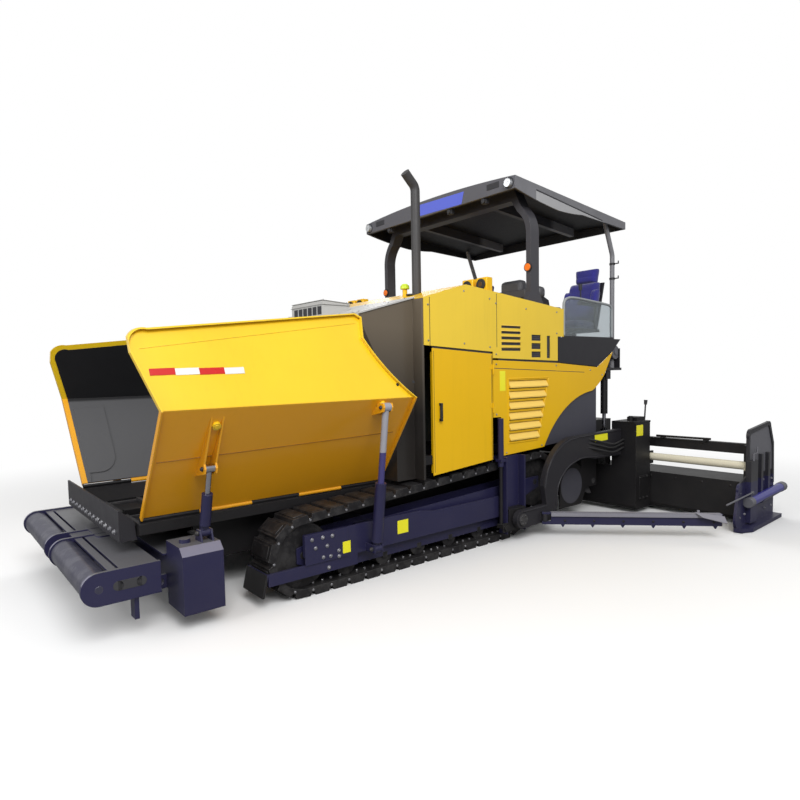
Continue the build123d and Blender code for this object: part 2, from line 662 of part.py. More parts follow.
def conveyor():
    """Two slat conveyors on the tunnel floor, each a pair of chains with the slats across them."""
    lanes = []
    top = TUNNEL_FLOOR + RUN
    for low, high in ((60, 600), (-600, -60)):
        chains = [
            box(FRAME_REAR - 20, HINGE_X1 - 60, y, y + 30, top, top + 20) for y in (low + 10, high - 40)
        ]
        slats = []
        for k in range(16):
            x = HINGE_X1 - 120 - 285 * k
            slats.append(box(x - 15, x + 15, low, high, top, top + 32))
        lanes += join(chains, slats)
    return lanes


# ---------------------------------------------------------------- body
FRONT = (HOOD_FRONT_X, HOOD_FRONT_Z)
CORNER = (BODY_X, BODY_FRONT_Z)
PEAK = (PEAK_X, PEAK_Z)
REAR = (BODY_REAR, BODY_REAR_Z)
SIDE_IN = HALF_WIDTH - PANEL


def hood_sides():
    """Charcoal side walls of the hood and the hopper's rear wall between them."""
    outline = (
        (BODY_X, SILL_Z - 30), (HOPPER_REAR, SILL_Z - 30), (HOPPER_REAR, 1480),
        (HOOD_FRONT_X - 60, 2100), FRONT, CORNER,
    )
    wall = slab("xz", HOOD_Y - PANEL, HOOD_Y, *outline)
    step = box(BODY_X - 4, BODY_X + 20, HOOD_Y - 1, SIDE_IN, SILL_Z - 30, BODY_FRONT_Z - 10)
    front = slab(
        "xz", PANEL - HOOD_Y - 1, HOOD_Y - PANEL + 1,
        (HOPPER_REAR, SILL_Z - 30), (HOPPER_REAR, 1480), (HOOD_FRONT_X - 60, 2100), FRONT,
        (FRONT[0] - 12, FRONT[1] - 4), (HOOD_FRONT_X - 72, 2104), (HOPPER_REAR - PLATE, 1484),
        (HOPPER_REAR - PLATE, SILL_Z - 30),
    )
    tunnel = box(
        HOPPER_REAR - 50, HOPPER_REAR + 50, FRAME_WALL - FRAME_Y, FRAME_Y - FRAME_WALL, 0, SHELF_Z - 40,
    )
    return join(both(wall, step), cut(front, tunnel))


HOOD_Y = HALF_WIDTH - 130


def hood_cover():
    """Pale top cover of the hood, its flanged edge, and the low intake box on it."""
    sheet = slab(
        "xz", -HOOD_Y - 10, HOOD_Y + 10,
        (FRONT[0], FRONT[1] + RUN), (FRONT[0], FRONT[1] + 14), (CORNER[0] + 2, CORNER[1] + 14),
        (CORNER[0] + 2, CORNER[1] + RUN),
    )
    intake = slab(
        "xz", -40, 510,
        (1300, between(FRONT, CORNER, 1300) + 10), (1300, 2405), (1288, 2417), (1000, 2397), (990, 2386),
        (990, between(FRONT, CORNER, 990) + 10),
    )
    lip = slab(
        "xz", -HOOD_Y, HOOD_Y, (FRONT[0], FRONT[1] - 90), (FRONT[0] + 12, FRONT[1] - 90),
        (FRONT[0] + 12, FRONT[1] + 14), (FRONT[0], FRONT[1] + 14),
    )
    return join(sheet, intake, lip)


def upper_panels():
    """Yellow side walls above the doors, with louvres, square holes and a slot cut through."""
    outline = (
        (BODY_X, SPLIT_FRONT_Z), (BODY_X, BODY_FRONT_Z), PEAK, REAR, (BODY_REAR, RAIL_Z + 6),
        (-1270, RAIL_Z + 6), (-1270, 1830),
        (DOOR_REAR - DOOR_GAP, 1862), (DOOR_REAR - DOOR_GAP, SPLIT_REAR_Z),
    )
    wall = slab("xz", SIDE_IN, HALF_WIDTH, *outline)
    cuts = []
    for k in range(5):
        cuts.append(box(-633, -333, 0, 1400, 1935 + 57 * k, 1963 + 57 * k))
    for k in range(3):
        cuts.append(box(-970, -812, 0, 1400, 1868 + 88 * k, 1930 + 88 * k))
    cuts.append(box(-1135, -1075, 0, 1400, 1860, 2100))
    return both(*cut(wall, cuts))


def hood_top():
    """Yellow top of the engine hood between the side walls."""
    t = PANEL
    top = slab(
        "xz", -SIDE_IN + RUN, SIDE_IN - RUN,
        (BODY_X, CORNER[1] - t), (BODY_X, CORNER[1]), PEAK, REAR, (BODY_REAR, REAR[1] - t),
        (PEAK_X, PEAK_Z - t),
    )
    front = box(BODY_X - t, BODY_X, -HOOD_Y + PANEL + 1, HOOD_Y - PANEL - 1, 1000, BODY_FRONT_Z - 1)
    back = box(BODY_REAR, BODY_REAR + t, -SIDE_IN + RUN, SIDE_IN - RUN, RAIL_Z + 20, REAR[1] - 1)
    return join(top, front, back)


DOOR_HINGE_X, DOOR_HINGE_Y, DOOR_HINGE_R = DOOR_REAR - 6, HALF_WIDTH + 8, 8
DOOR_HINGES = (1320, 1700)   # lower ends of the fixed tubes
HINGE_TUBE = 50


def door_hinges(low, side):
    """Hinge tubes from their lower ends up, each with its leaf to the front (1) or to the rear (-1)."""
    pieces = []
    for z in low:
        x0, x1 = sorted((DOOR_HINGE_X, DOOR_HINGE_X + side * 40))
        pieces.append(bar(
            (DOOR_HINGE_X, DOOR_HINGE_Y, z), (DOOR_HINGE_X, DOOR_HINGE_Y, z + HINGE_TUBE), DOOR_HINGE_R,
        ))
        pieces.append(box(x0, x1, HALF_WIDTH - 1, HALF_WIDTH + 4, z, z + HINGE_TUBE))
    return pieces


def door():
    """Left engine door with its handle and hinge tubes."""
    panel = slab(
        "xz", SIDE_IN, HALF_WIDTH,
        (DOOR_FRONT, SILL_Z), (DOOR_FRONT, SPLIT_FRONT_Z - 25), (DOOR_REAR, SPLIT_REAR_Z - 20),
        (DOOR_REAR, SILL_Z + 60),
    )
    x, z0, z1 = DOOR_FRONT - 86, 1290, 1450
    grip = box(x - 9, x + 9, HALF_WIDTH + 14, HALF_WIDTH + 30, z0, z1)
    ends = [box(x - 9, x + 9, HALF_WIDTH - 1, HALF_WIDTH + 30, z, z + 18) for z in (z0, z1 - 18)]
    handle = join(grip, ends)
    edge = box(DOOR_FRONT - 20, DOOR_FRONT - 6, SIDE_IN - 26, SIDE_IN + 1, SILL_Z + 20, SPLIT_FRONT_Z - 60)
    return join(panel, handle, edge, door_hinges([z + HINGE_TUBE + RUN for z in DOOR_HINGES], 1))


def rear_panels():
    """Yellow lower rear panels with raised louvre blades and the long curve over the fender."""
    outline = (
        (DOOR_REAR - DOOR_GAP, 1271), (DOOR_REAR - DOOR_GAP, 1843), (-1280, 1806), (-2050, 1752),
        (-2384, 1934), (-2204, 1664), ((-2085, 1560), (-1943, 1478)), ((-1339, 1250), (-1023, 903)),
        (-333, 874), (-322, 1271),
    )
    wall = slab("xz", SIDE_IN, HALF_WIDTH, *outline)
    blades, openings = [], []
    for k in range(6):
        z = 1010 + 108 * k
        rear = -931 - 31 * k
        openings.append(box(rear, -437, 0, 1400, z, z + 84))
        blades.append(slab(
            "yz", rear + 6, -443,
            (SIDE_IN - 14, z + 84), (HALF_WIDTH + 16, z + 18), (HALF_WIDTH + 16, z + 8),
            (HALF_WIDTH + 6, z + 8), (SIDE_IN - 22, z + 80),
        ))
    return both(*join(cut(wall, openings), slab_frame(blades, openings), door_hinges(DOOR_HINGES, -1)))


def slab_frame(blades, openings):
    """Each louvre blade with the end cheeks that join it to its panel."""
    pieces = []
    for blade, hole in zip(blades, openings):
        low, high = hole.bounding_box().min, hole.bounding_box().max
        cheeks = [
            box(low.X - 6, low.X + 7, SIDE_IN - 22, HALF_WIDTH + 2, low.Z, high.Z),
            box(high.X - 7, high.X + 6, SIDE_IN - 22, HALF_WIDTH + 2, low.Z, high.Z),
        ]
        pieces += join(blade, cheeks)
    return pieces


def fenders():
    """Charcoal covers behind the yellow curve, over the arms."""
    y = SIDE_IN - 14
    wall = slab(
        "xz", y - PANEL, y,
        (-1010, 905), (-990, 1120), ((-1330, 1330), (-1943, 1560)), (-2060, 1640), (-2060, 960),
        (-1500, 930),
    )
    shelf = box(-2060, -1300, FRAME_Y, y - 2, 1000, 1008)
    return both(*join(wall, shelf))


def operator_sides():
    """Grey side panels of the operator's stand, with the rail along the clear shields."""
    outline = (
        (-1283, 1812), (-1283, RAIL_Z), (-2560, RAIL_Z), (-2420, 1972), (-2392, 1946), (-2052, 1760),
    )
    wall = slab("xz", SIDE_IN, HALF_WIDTH, *outline)
    rail = box(-2400, BODY_REAR - 6, SIDE_IN - 20, HALF_WIDTH, RAIL_Z, RAIL_Z + 18)
    return both(*join(wall, rail))


def side_shields():
    """Clear wind shields standing on the side rails."""
    y = HALF_WIDTH - 14
    pane = slab(
        "xz", y - 6, y,
        (-1405, RAIL_Z + 18 + RUN), (-1405, 2480), ((-1500, 2535), (-1640, 2540)), (-2300, 2500),
        ((-2365, 2470), (-2385, 2400)), (-2385, RAIL_Z + 18 + RUN),
    )
    return both(pane)


def deck():
    """Operator's floor with its side skirts, rear wall and the posts it stands on."""
    floor = box(DECK_REAR, -1290, RUN - SIDE_IN, SIDE_IN - RUN, DECK_Z - 30, DECK_Z)
    wall = box(-1290, -1278, -SIDE_IN + 40, SIDE_IN - 40, 980, 2380)
    back = box(DECK_REAR, DECK_REAR + 12, -SIDE_IN + 20, SIDE_IN - 20, DECK_Z, DECK_Z + 240)
    under = box(-1990, -1960, -FRAME_Y, FRAME_Y, 1000, DECK_Z - 30)
    ribs = both(box(-2400, -1290, FRAME_Y - 20, FRAME_Y, DECK_Z - 80, DECK_Z - 30))
    stays = both(*(
        box(x, x + 30, SIDE_IN - 30, SIDE_IN - RUN, DECK_Z - 1, RAIL_Z - 20) for x in (-2340, -1890, -1440)
    ))
    lugs = both(*lift_lugs(LIFT_TOP - 45, DECK_Z - 29))
    return join(floor, wall, back, under, ribs, stays, lugs)


def engine_block():
    return [box(-900, 500, -420, 420, 980 + RUN, 1900)]


def exhaust_pipe():
    """Exhaust stack with its tip bent forward."""
    x, y = 300, 700
    foot = PEAK_Z + (BODY_FRONT_Z - PEAK_Z) * (x - PEAK_X) / (BODY_X - PEAK_X)
    pipe = tube(46, (x, y, foot - 40), (x, y, 3560), (x + 130, y, 3680), bend=90)
    return cut(pipe, hood_space())


def console():
    """Control console across the stand, with its instrument hood."""
    desk = slab(
        "xz", -820, 820,
        (-1410, DECK_Z + RUN), (-1410, 2560), (-1500, 2640), (-1700, 2560), (-1720, 2480),
        (-1560, 2400), (-1560, DECK_Z + RUN),
    )
    return [desk]


SEAT_X, SEAT_Y, SEAT_Z = -2080, HALF_WIDTH - 390, 2180
SEAT_HALF = 240
BACK_LEAN = 170              # how far a seat's back leans rearward over its height
BACK_HIGH = 620              # top of the back above the pan's underside
STEM_LEAN, STEM_HIGH = 25, 190


def seats():
    """Two operator's seats without their cushions: pedestal, pan and the shell of the back."""
    x, y, z = SEAT_X, SEAT_Y, SEAT_Z
    base = bar((x, y, DECK_Z + RUN), (x, y, z + 1), 70)
    pan = box(x - 250, x + 250, y - SEAT_HALF, y + SEAT_HALF, z, z + 35)
    back = slab(
        "xz", y - SEAT_HALF + 30, y + SEAT_HALF - 30,
        (x - 250, z), (x - 225, z), (x - 225 - BACK_LEAN, z + BACK_HIGH),
        (x - 250 - BACK_LEAN, z + BACK_HIGH),
    )
    stem_x, stem_z = x - 230 - BACK_LEAN, z + BACK_HIGH - 60
    stem = slab(
        "xz", y - 25, y + 25,
        (stem_x - 15, stem_z), (stem_x, stem_z), (stem_x - STEM_LEAN, stem_z + STEM_HIGH),
        (stem_x - 15 - STEM_LEAN, stem_z + STEM_HIGH),
    )
    return both(*join(base, pan, back, stem))


def seat_cushions():
    """The pads of both seats: pan, back with its sides drawn in towards the shoulders, and headrest."""
    x, y, z = SEAT_X, SEAT_Y, SEAT_Z + 35 + RUN
    pan = box(x - 210, x + 265, y - SEAT_HALF - 5, y + SEAT_HALF + 5, z, z + 90)
    lean = BACK_LEAN / BACK_HIGH
    front = x - 225 + RUN * 2
    back = slab(
        "xz", y - SEAT_HALF + 10, y + SEAT_HALF - 10,
        (front - lean * 130, SEAT_Z + 130), (front - lean * 130 + 110, SEAT_Z + 130),
        (front - lean * 560 + 100, SEAT_Z + 560), (front - lean * 610 + 20, SEAT_Z + 610),
        (front - lean * 610, SEAT_Z + 610),
    )
    shoulders = both_ways(y, slab(
        "yz", x - 500, x + 100,
        (y + SEAT_HALF - 120, SEAT_Z + 620), (y + SEAT_HALF, SEAT_Z + 400), (y + SEAT_HALF, SEAT_Z + 700),
        (y + SEAT_HALF - 120, SEAT_Z + 700),
    ))
    head_x, head_z = x - 230 - BACK_LEAN + RUN, SEAT_Z + BACK_HIGH - 60
    slope = STEM_LEAN / STEM_HIGH
    head = slab(
        "xz", y - 135, y + 135,
        (head_x - slope * 65, head_z + 65), (head_x + 85 - slope * 65, head_z + 75),
        (head_x + 80 - slope * 230, head_z + 230), (head_x - slope * 230, head_z + 230),
    )
    return both(pan, *cut(back, shoulders), head)


def both_ways(y, shape):
    """A shape and its mirror image about a plane at y."""
    return [shape, shape.mirror(Plane.XZ.offset(-y))]


def roof_section(x, z, half, skirt, crown):
    """Cross-section of the roof at x, the top of its sides at z."""
    points = [Vector(x, -half, z - skirt), Vector(x, -half, z), Vector(x, 0, z + crown),
              Vector(x, half, z), Vector(x, half, z - skirt)]
    return Face(Wire([
        Edge.make_line(points[4], points[0]), Edge.make_line(points[0], points[1]),
        Edge.make_three_point_arc(points[1], points[2], points[3]), Edge.make_line(points[3], points[4]),
    ]))


def roof_outer(inset=0.0):
    """The roof's full form, or the space under it when inset by the sheet."""
    drop, run = ROOF_FRONT_Z - ROOF_REAR_Z, ROOF_FRONT - ROOF_REAR
    share = inset / run
    below = 20 if inset else 0
    start = roof_section(
        ROOF_REAR + inset, ROOF_REAR_Z + drop * share - inset, HALF_WIDTH - inset,
        ROOF_SKIRT - inset + below, ROOF_CROWN,
    )
    return Solid.extrude(start, Vector(run - 2 * inset, 0, drop * (1 - 2 * share)))


def roof_top(x):
    """Height of the roof's side edge at x."""
    return ROOF_REAR_Z + (ROOF_FRONT_Z - ROOF_REAR_Z) * (x - ROOF_REAR) / (ROOF_FRONT - ROOF_REAR)


def roof_under(x):
    """Height of the roof shell's underside at its skirt."""
    return roof_top(x) - ROOF_SHEET


def canopy_roof():
    """Crowned roof shell; its fascias are shallow at both ends and its sides hang deeper behind the front."""
    front, deep, waist, rear = ROOF_FRONT, ROOF_FRONT - 730, ROOF_FRONT - 1180, ROOF_REAR
    low = min(ROOF_FRONT_Z, ROOF_REAR_Z) - 2 * ROOF_SKIRT
    wave = slab(
        "xz", -HALF_WIDTH - 1, HALF_WIDTH + 1,
        (front + 1, low), (front + 1, roof_top(front) - 125),
        ((front - 330, roof_top(front - 330) - 162), (deep, roof_top(deep) - 180)),
        ((deep - 220, roof_top(deep - 220) - 160), (waist, roof_top(waist) - 125)),
        (rear - 1, roof_top(rear) - 85), (rear - 1, low),
    )
    return cut(roof_outer(), roof_outer(ROOF_SHEET), wave)


def canopy_posts():
    """Wide front posts curved in under the roof to a cross beam with ribs, and slender rear posts."""
    out = HALF_WIDTH - 25
    rear_y = out - 85
    x0, x1 = POST_FRONT - 140, POST_FRONT
    top = roof_under(x0)
    front = slab(
        "yz", x0, x1,
        (out - 60, 2380), (out, 2380), (out, 3150), ((out - 30, 3330), (out - 125, 3470)),
        (out - 215, top + 30),
        (out - 325, top + 30), (out - 175, 3420), ((out - 85, 3300), (out - 60, 3150)),
    )
    foot = slab("xz", out - 60, out, (x0 - 115, 2388), (x1 + 115, 2388), (x1, 2560), (x0, 2560))
    beam = box(x0, x1, 260 - out, out - 260, top - 90, top + 54)
    rib_rear = ROOF_REAR + 150
    ribs = both(slab(
        "xz", 560, 620,
        (rib_rear, roof_under(rib_rear) - 55), (x0 + 1, top - 70), (x0 + 1, top + 60),
        (rib_rear, roof_under(rib_rear) + 60),
    ))
    head = POST_X + 190
    rear = tube(
        28, (POST_X, rear_y, DECK_Z + RUN), (POST_X, rear_y, 3130),
        (head, rear_y, roof_under(head) + 40), bend=120,
    )
    shell = canopy_roof()[0].moved(Location((0, 0, -RUN)))
    legs = cut(both(front, foot), hood_space())
    frame = join(beam, ribs, legs)
    return [max(cut(piece, shell), key=lambda part: part.volume) for piece in frame + both(rear)]


POST_X, POST_FRONT = -2550, -835


def hood_space():
    """Everything under the hood's top face, to seat the front posts on it."""
    return slab(
        "xz", -2000, 2000,
        (BODY_X, 0), (BODY_X, BODY_FRONT_Z + RUN), (PEAK_X, PEAK_Z + RUN),
        (BODY_REAR, BODY_REAR_Z + RUN), (BODY_REAR, 0),
    )


def lamps():
    """Round headlamps in the roof's front corners and a work lamp on the hood."""
    x, y, z = ROOF_FRONT, HALF_WIDTH - 75, ROOF_FRONT_Z - 65
    return both(bar((x + RUN, y, z), (x + 40, y, z), 42))


# ---------------------------------------------------------------- tow points, arms, screed
def tow_guides():
    """Vertical guide channels on the frame, with the levelling rams' barrels."""
    t = GUIDE_FLANGE
    back = box(GUIDE_REAR, GUIDE_FRONT, GUIDE_Y - t, GUIDE_Y, GUIDE_LOW, GUIDE_HIGH)
    carrier = box(GUIDE_REAR, GUIDE_FRONT, FRAME_Y, GUIDE_Y - t, GUIDE_HIGH - 34, GUIDE_HIGH)
    flanges = [
        box(x, x + t, GUIDE_Y, GUIDE_Y + 80, GUIDE_LOW, GUIDE_HIGH) for x in (GUIDE_REAR, GUIDE_FRONT - t)
    ]
    top, end = 1262, 780
    barrel = bar((LEVEL_X, LEVEL_Y, end), (LEVEL_X, LEVEL_Y, top), 30)
    bore = bar((LEVEL_X, LEVEL_Y, end - 1), (LEVEL_X, LEVEL_Y, top - 30), LEVEL_R + RUN)
    strap = box(GUIDE_FRONT - t, LEVEL_X + 34, GUIDE_Y, LEVEL_Y + 34, GUIDE_HIGH - 40, GUIDE_HIGH - 10)
    return both(*cut(join(back, carrier, flanges, barrel, strap), bore))


def tow_blocks():
    """Sliding tow blocks, each with the arm's pin, its levelling rod and a pair of guide rollers."""
    t = GUIDE_FLANGE + 5
    low, high = TOW_Z - 110, TOW_Z + 110
    block = box(GUIDE_REAR + t, GUIDE_FRONT - t, GUIDE_Y + RUN, ARM_IN - 8, low, high)
    foot = box(GUIDE_FRONT - t, LEVEL_X + 34, GUIDE_Y + 85, ARM_IN - 8, low, low + 90)
    pad = box(GUIDE_FRONT + 5, LEVEL_X + 34, GUIDE_Y + 12, GUIDE_Y + 86, low + 40, low + 80)
    rod = bar((LEVEL_X, LEVEL_Y, low + 79), (LEVEL_X, LEVEL_Y, 910), LEVEL_R)
    pin = bar((TOW_X, ARM_IN - 9, TOW_Z), (TOW_X, ARM_OUT + 14, TOW_Z), 34)
    roller = bar((LEVEL_X - 8, ARM_IN - 9, low + 45), (LEVEL_X - 8, ARM_IN + 14, low + 45), 33)
    return both(*join(block, foot, pad, rod, pin, roller))


def screed_arms():
    """Curved arms from the tow pins up and back to the screed's end boxes, with the blades' posts."""
    end = SCREED_FRONT + RUN
    outline = (
        (TOW_X, TOW_Z + 90), (-845, 322), (-802, 520), ((-880, 728), (-1001, 869)),
        ((-1140, 955), (-1327, 994)), (end, 1012),
        (end, 700), (-1746, 711), ((-1497, 738), (-1327, 698)), ((-1129, 585), (-1039, 442)),
        (-1032, 288), (-1000, 150),
        (TOW_X, TOW_Z - 90), ((TOW_X + 90, TOW_Z), (TOW_X, TOW_Z + 90)),
    )
    arm = slab("xz", ARM_IN, ARM_OUT, *outline)
    bore = bar((TOW_X, 1000, TOW_Z), (TOW_X, 1600, TOW_Z), 34 + RUN)
    hinge = box(BLADE_X - 30, BLADE_X + 30, ARM_OUT, BLADE_Y - 26, BLADE_LOW + 60, BLADE_HIGH - 20)
    post = bar((BLADE_X, BLADE_Y, BLADE_LOW + 60), (BLADE_X, BLADE_Y, BLADE_HIGH - 20), 28)
    pin = bar((BLADE_X, BLADE_Y, BLADE_LOW + 26), (BLADE_X, BLADE_Y, BLADE_HIGH + 4), BLADE_PIN_R)
    return both(*join(cut(arm, bore), hinge, post, pin))


def hollow(body, x0, x1, y0, y1, z0, z1, bays):
    """A screed box made from plates: bays between ribs across it, each rib and end with a hand hole."""
    t = SCREED_PLATE
    bay = (y1 - y0 - t) / bays
    rooms = [box(x0 + t, x1 - t, y0 + t + bay * k, y0 + bay * (k + 1), z0 + t, z1 - t) for k in range(bays)]
    holes = box(x0 + 90, x1 - 90, y0 - 1, y1 + 1, z0 + 120, z1 - 120)
    return cut(body, rooms, holes)


def screed_main():
    """Basic screed: hollow base, upper box, the arms' end boxes, and the extensions' guides."""
    base = slab(
        "xz", -SCREED_Y, SCREED_Y,
        (SCREED_FRONT - 30, SCREED_LOW), (SCREED_FRONT, SCREED_LOW + 40), (SCREED_FRONT, SCREED_HIGH),
        (SCREED_REAR, SCREED_HIGH), (SCREED_REAR, SCREED_LOW),
    )
    base = hollow(base, SCREED_REAR, SCREED_FRONT, -SCREED_Y, SCREED_Y, SCREED_LOW, SCREED_HIGH, 4)
    upper = box(SCREED_REAR + 10, SCREED_FRONT, -BOX_Y, BOX_Y, SCREED_HIGH, BOX_HIGH)
    upper = hollow(upper, SCREED_REAR + 10, SCREED_FRONT, -BOX_Y, BOX_Y, SCREED_HIGH, BOX_HIGH, 3)
    t = SCREED_PLATE
    rear, near = SCREED_REAR + 10, ARM_IN - END_BOX_INSIDE
    end_box = box(rear, SCREED_FRONT, near, SCREED_Y, SCREED_HIGH, BOX_HIGH)
    room = box(rear + t, SCREED_FRONT - t, near + t, SCREED_Y - t, SCREED_HIGH + t, BOX_HIGH - t)
    hand_hole = box(rear + 90, SCREED_FRONT - 90, near - 1, near + t + 1, SCREED_HIGH + 120, BOX_HIGH - 120)
    ends = both(*cut(end_box, room, hand_hole), *lift_lugs(SCREED_HIGH, LIFT_LOW + 45))
    guides = []
    for y in (SCREED_Y - 45, SCREED_Y - 290):
        plate = box(GUIDE_TUBE_X - 65, SCREED_REAR, y, y + 20, SCREED_HIGH + 5, GUIDE_TUBE_Z + 65)
        foot = box(SCREED_REAR - 1, SCREED_REAR + 60, y, y + 20, SCREED_HIGH - 1, GUIDE_TUBE_Z + 65)
        guides += join(plate, foot)
    bores = bar((GUIDE_TUBE_X, 0, GUIDE_TUBE_Z), (GUIDE_TUBE_X, 2000, GUIDE_TUBE_Z), GUIDE_TUBE_R + RUN)
    return join(base, upper, ends, both(*cut(guides, bores)))


def lift_lugs(low, high):
    """The two lugs at an end of the left lift ram."""
    faces = [LIFT_Y + side * (LIFT_LUG_IN + 7) for side in (-1, 1)]
    return [box(LIFT_X - 45, LIFT_X + 45, face - 7, face + 7, low, high) for face in faces]


def extension():
    """Left hydraulic extension: base box, upper beam, end frames and its guide tube."""
    y0, y1 = EXTENSION_INNER, EXTENSION_OUTER
    base = slab(
        "xz", y0, y1,
        (EXTENSION_FRONT - 30, SCREED_LOW), (EXTENSION_FRONT, SCREED_LOW + 40), (EXTENSION_FRONT, 480),
        (EXTENSION_REAR, 480), (EXTENSION_REAR, SCREED_LOW),
    )
    base = hollow(base, EXTENSION_REAR, EXTENSION_FRONT, y0, y1, SCREED_LOW, 480, 3)
    beam = box(-2870, -2790, y0, y1, 770, 880)
    outer = box(-2950, EXTENSION_FRONT, y1 - 20, y1, 480, 880)
    inner = box(-2950, -2770, y0, y0 + 20, 480, 880)
    tube_y = SCREED_Y - 290 - 60
    guide = bar((GUIDE_TUBE_X, tube_y, GUIDE_TUBE_Z), (GUIDE_TUBE_X, y1 - 10, GUIDE_TUBE_Z), GUIDE_TUBE_R)
    tread = box(EXTENSION_REAR - 260, EXTENSION_REAR, y0 + 60, y1, 300, 330)
    rail = [box(x, x + 50, y1 - 1, GATE_IN - RUN, 200, 480) for x in (-2780, -3160)]
    return join(base, beam, outer, inner, guide, tread, rail)


def end_gate():
    """Left end gate: runner plate on a wide ski, guide post, upper shield in a rim, and brace tube."""
    y0, y1 = GATE_IN, GATE_IN + GATE_PLATE
    nose, low = GATE_FRONT, GATE_LOW
    runner = slab(
        "xz", y0, y1,
        (nose - 125, low), (nose - 1080, low), (nose - 1080, 500), (nose - 300, 560), (nose - 130, 500),
        ((nose - 80, 480), (nose - 68, 420)), (nose, 130), ((nose - 35, 40), (nose - 125, low)),
    )
    ski = slab(
        "xy", low, low + 40,
        (nose - 20, y0), (nose - 30, y1 + 60), (nose - 170, y1 + 120), (nose - 1080, y1 + 90),
        (nose - 1080, y0),
    )
    edge = cut(slab(
        "xz", y1 - 1, y1 + 12,
        (nose - 125, low), (nose - 170, 60), (nose - 100, 150), (nose - 150, 470), (nose - 130, 500),
        ((nose - 80, 480), (nose - 68, 420)), (nose, 130), ((nose - 35, 40), (nose - 125, low)),
    ))
    front, rear, top = SHIELD_FRONT, SHIELD_REAR, SHIELD_TOP
    shield_outline = (
        (front, 540), (front - 10, 960), ((front - 18, top - 75), (front - 60, top - 50)),
        (rear + 200, top), ((rear + 145, top - 3), (rear + 115, top - 50)), (rear + 20, 860),
        (rear, 470), (rear, 400), (front, 400),
    )
    shield = slab("xz", y0, y1, *shield_outline)
    window = slab(
        "xz", y1 - 6, y1 + 20,
        (front - 34, 390), (front - 42, 950), ((front - 50, top - 112), (front - 80, top - 96)),
        (rear + 212, top - 42), ((rear + 172, top - 46), (rear + 152, top - 74)), (rear + 54, 840),
        (rear + 34, 390),
    )
    rim = cut(slab("xz", y1 - 1, y1 + 14, *shield_outline), window)
    post = box(front - 165, front + 20, y1 - 1, y1 + 50, 60, 725)
    rails = [box(x - 25, x + 25, y1 - 1, y1 + 36, 330, 770) for x in (front - 330, front - 530)]
    tube_y = y1 + BRACE_R - 5
    brace = bar((front - 230, tube_y, 290), (GATE_REAR, tube_y, 335), BRACE_R)
    return join(runner, ski, edge, shield, rim, post, rails, brace)


def lift_barrels():
    top = Vector(LIFT_X, LIFT_Y, LIFT_TOP)
    end = top - Vector(0, 0, LIFT_BARREL)
    body = bar(tuple(top - Vector(0, 0, 20)), tuple(end), LIFT_R)
    eye = bar(
        (LIFT_X, LIFT_Y - LIFT_LUG_IN + RUN, LIFT_TOP), (LIFT_X, LIFT_Y + LIFT_LUG_IN - RUN, LIFT_TOP),
        34,
    )
    bore = bar(tuple(end - Vector(0, 0, 1)), tuple(top - Vector(0, 0, 40)), LIFT_ROD_R + RUN)
    return both(*cut(join(body, eye), bore))


def lift_rods():
    top = LIFT_TOP - LIFT_BARREL + 120
    rod = bar((LIFT_X, LIFT_Y, top), (LIFT_X, LIFT_Y, LIFT_LOW + 5), LIFT_ROD_R)
    eye = bar(
        (LIFT_X, LIFT_Y - LIFT_LUG_IN + RUN, LIFT_LOW), (LIFT_X, LIFT_Y + LIFT_LUG_IN - RUN, LIFT_LOW),
        34,
    )
    return both(*join(rod, eye))


# ---------------------------------------------------------------- auger and blades
def auger_carrier():
    """Beam behind the frame with the auger's gear case, its end bearings and the rounded side plates."""
    z0, z1 = AUGER_Z + AUGER_R + 45, AUGER_Z + AUGER_R + 150
    beam = box(-1900, -1800, -1200, 1200, z0, z1)
    struts = both(box(-1800, FRAME_REAR, FRAME_Y - FRAME_WALL, FRAME_Y, z0 - 50, z1))
    case = box(AUGER_X - 60, -1900, -45, 45, z0 - 10, z1 - 10)
    drop = box(AUGER_X - 60, AUGER_X + 60, -AUGER_INNER + 8, AUGER_INNER - 8, AUGER_Z - 70, z1 - 10)
    side = AUGER_OUTER + 5
    plates = both(slab(
        "xz", side, side + 15,
        (AUGER_X - 60, AUGER_Z - 60), (AUGER_X - 60, z1), (-1800, z1), (-1800, 560),
        ((-1640, 655), (-1380, 470)), (-1380, 150),
        (-1800, 150), (-1900, AUGER_Z - 60),
    ))
    bores = bar((AUGER_X, -1400, AUGER_Z), (AUGER_X, 1400, AUGER_Z), AUGER_SHAFT - 12 + RUN)
    return cut(join(beam, struts, case, drop, plates), bores)


def auger():
    """Left spreading auger: shaft with half-round flights turned along it like a screw."""
    y0, y1 = AUGER_INNER, AUGER_OUTER
    shaft = bar((AUGER_X, y0, AUGER_Z), (AUGER_X, y1, AUGER_Z), AUGER_SHAFT)
    ends = bar((AUGER_X, y0 - 30, AUGER_Z), (AUGER_X, y1 + 20, AUGER_Z), AUGER_SHAFT - 12)
    turns = int((y1 - y0 - 60) / (AUGER_PITCH / 2))
    flights = []
    for k in range(turns):
        y = y0 + 60 + k * AUGER_PITCH / 2 + AUGER_PITCH / 4
        disc = bar((0, -AUGER_SHEET / 2, 0), (0, AUGER_SHEET / 2, 0), AUGER_R)
        half = box(-AUGER_R - 5, 0, -50, 50, -AUGER_R - 5, AUGER_R + 5)
        lean = math.degrees(math.atan2(AUGER_PITCH / 2, 2 * (AUGER_R + AUGER_SHAFT) / 2 * 1.6))
        blade = solids(disc.cut(half))[0]
        blade = blade.rotate(Axis.X, lean).rotate(Axis.Y, 180 * (k % 2))
        flights.append(blade.translate(Vector(AUGER_X, y, AUGER_Z)))
    return join(shaft, ends, flights)


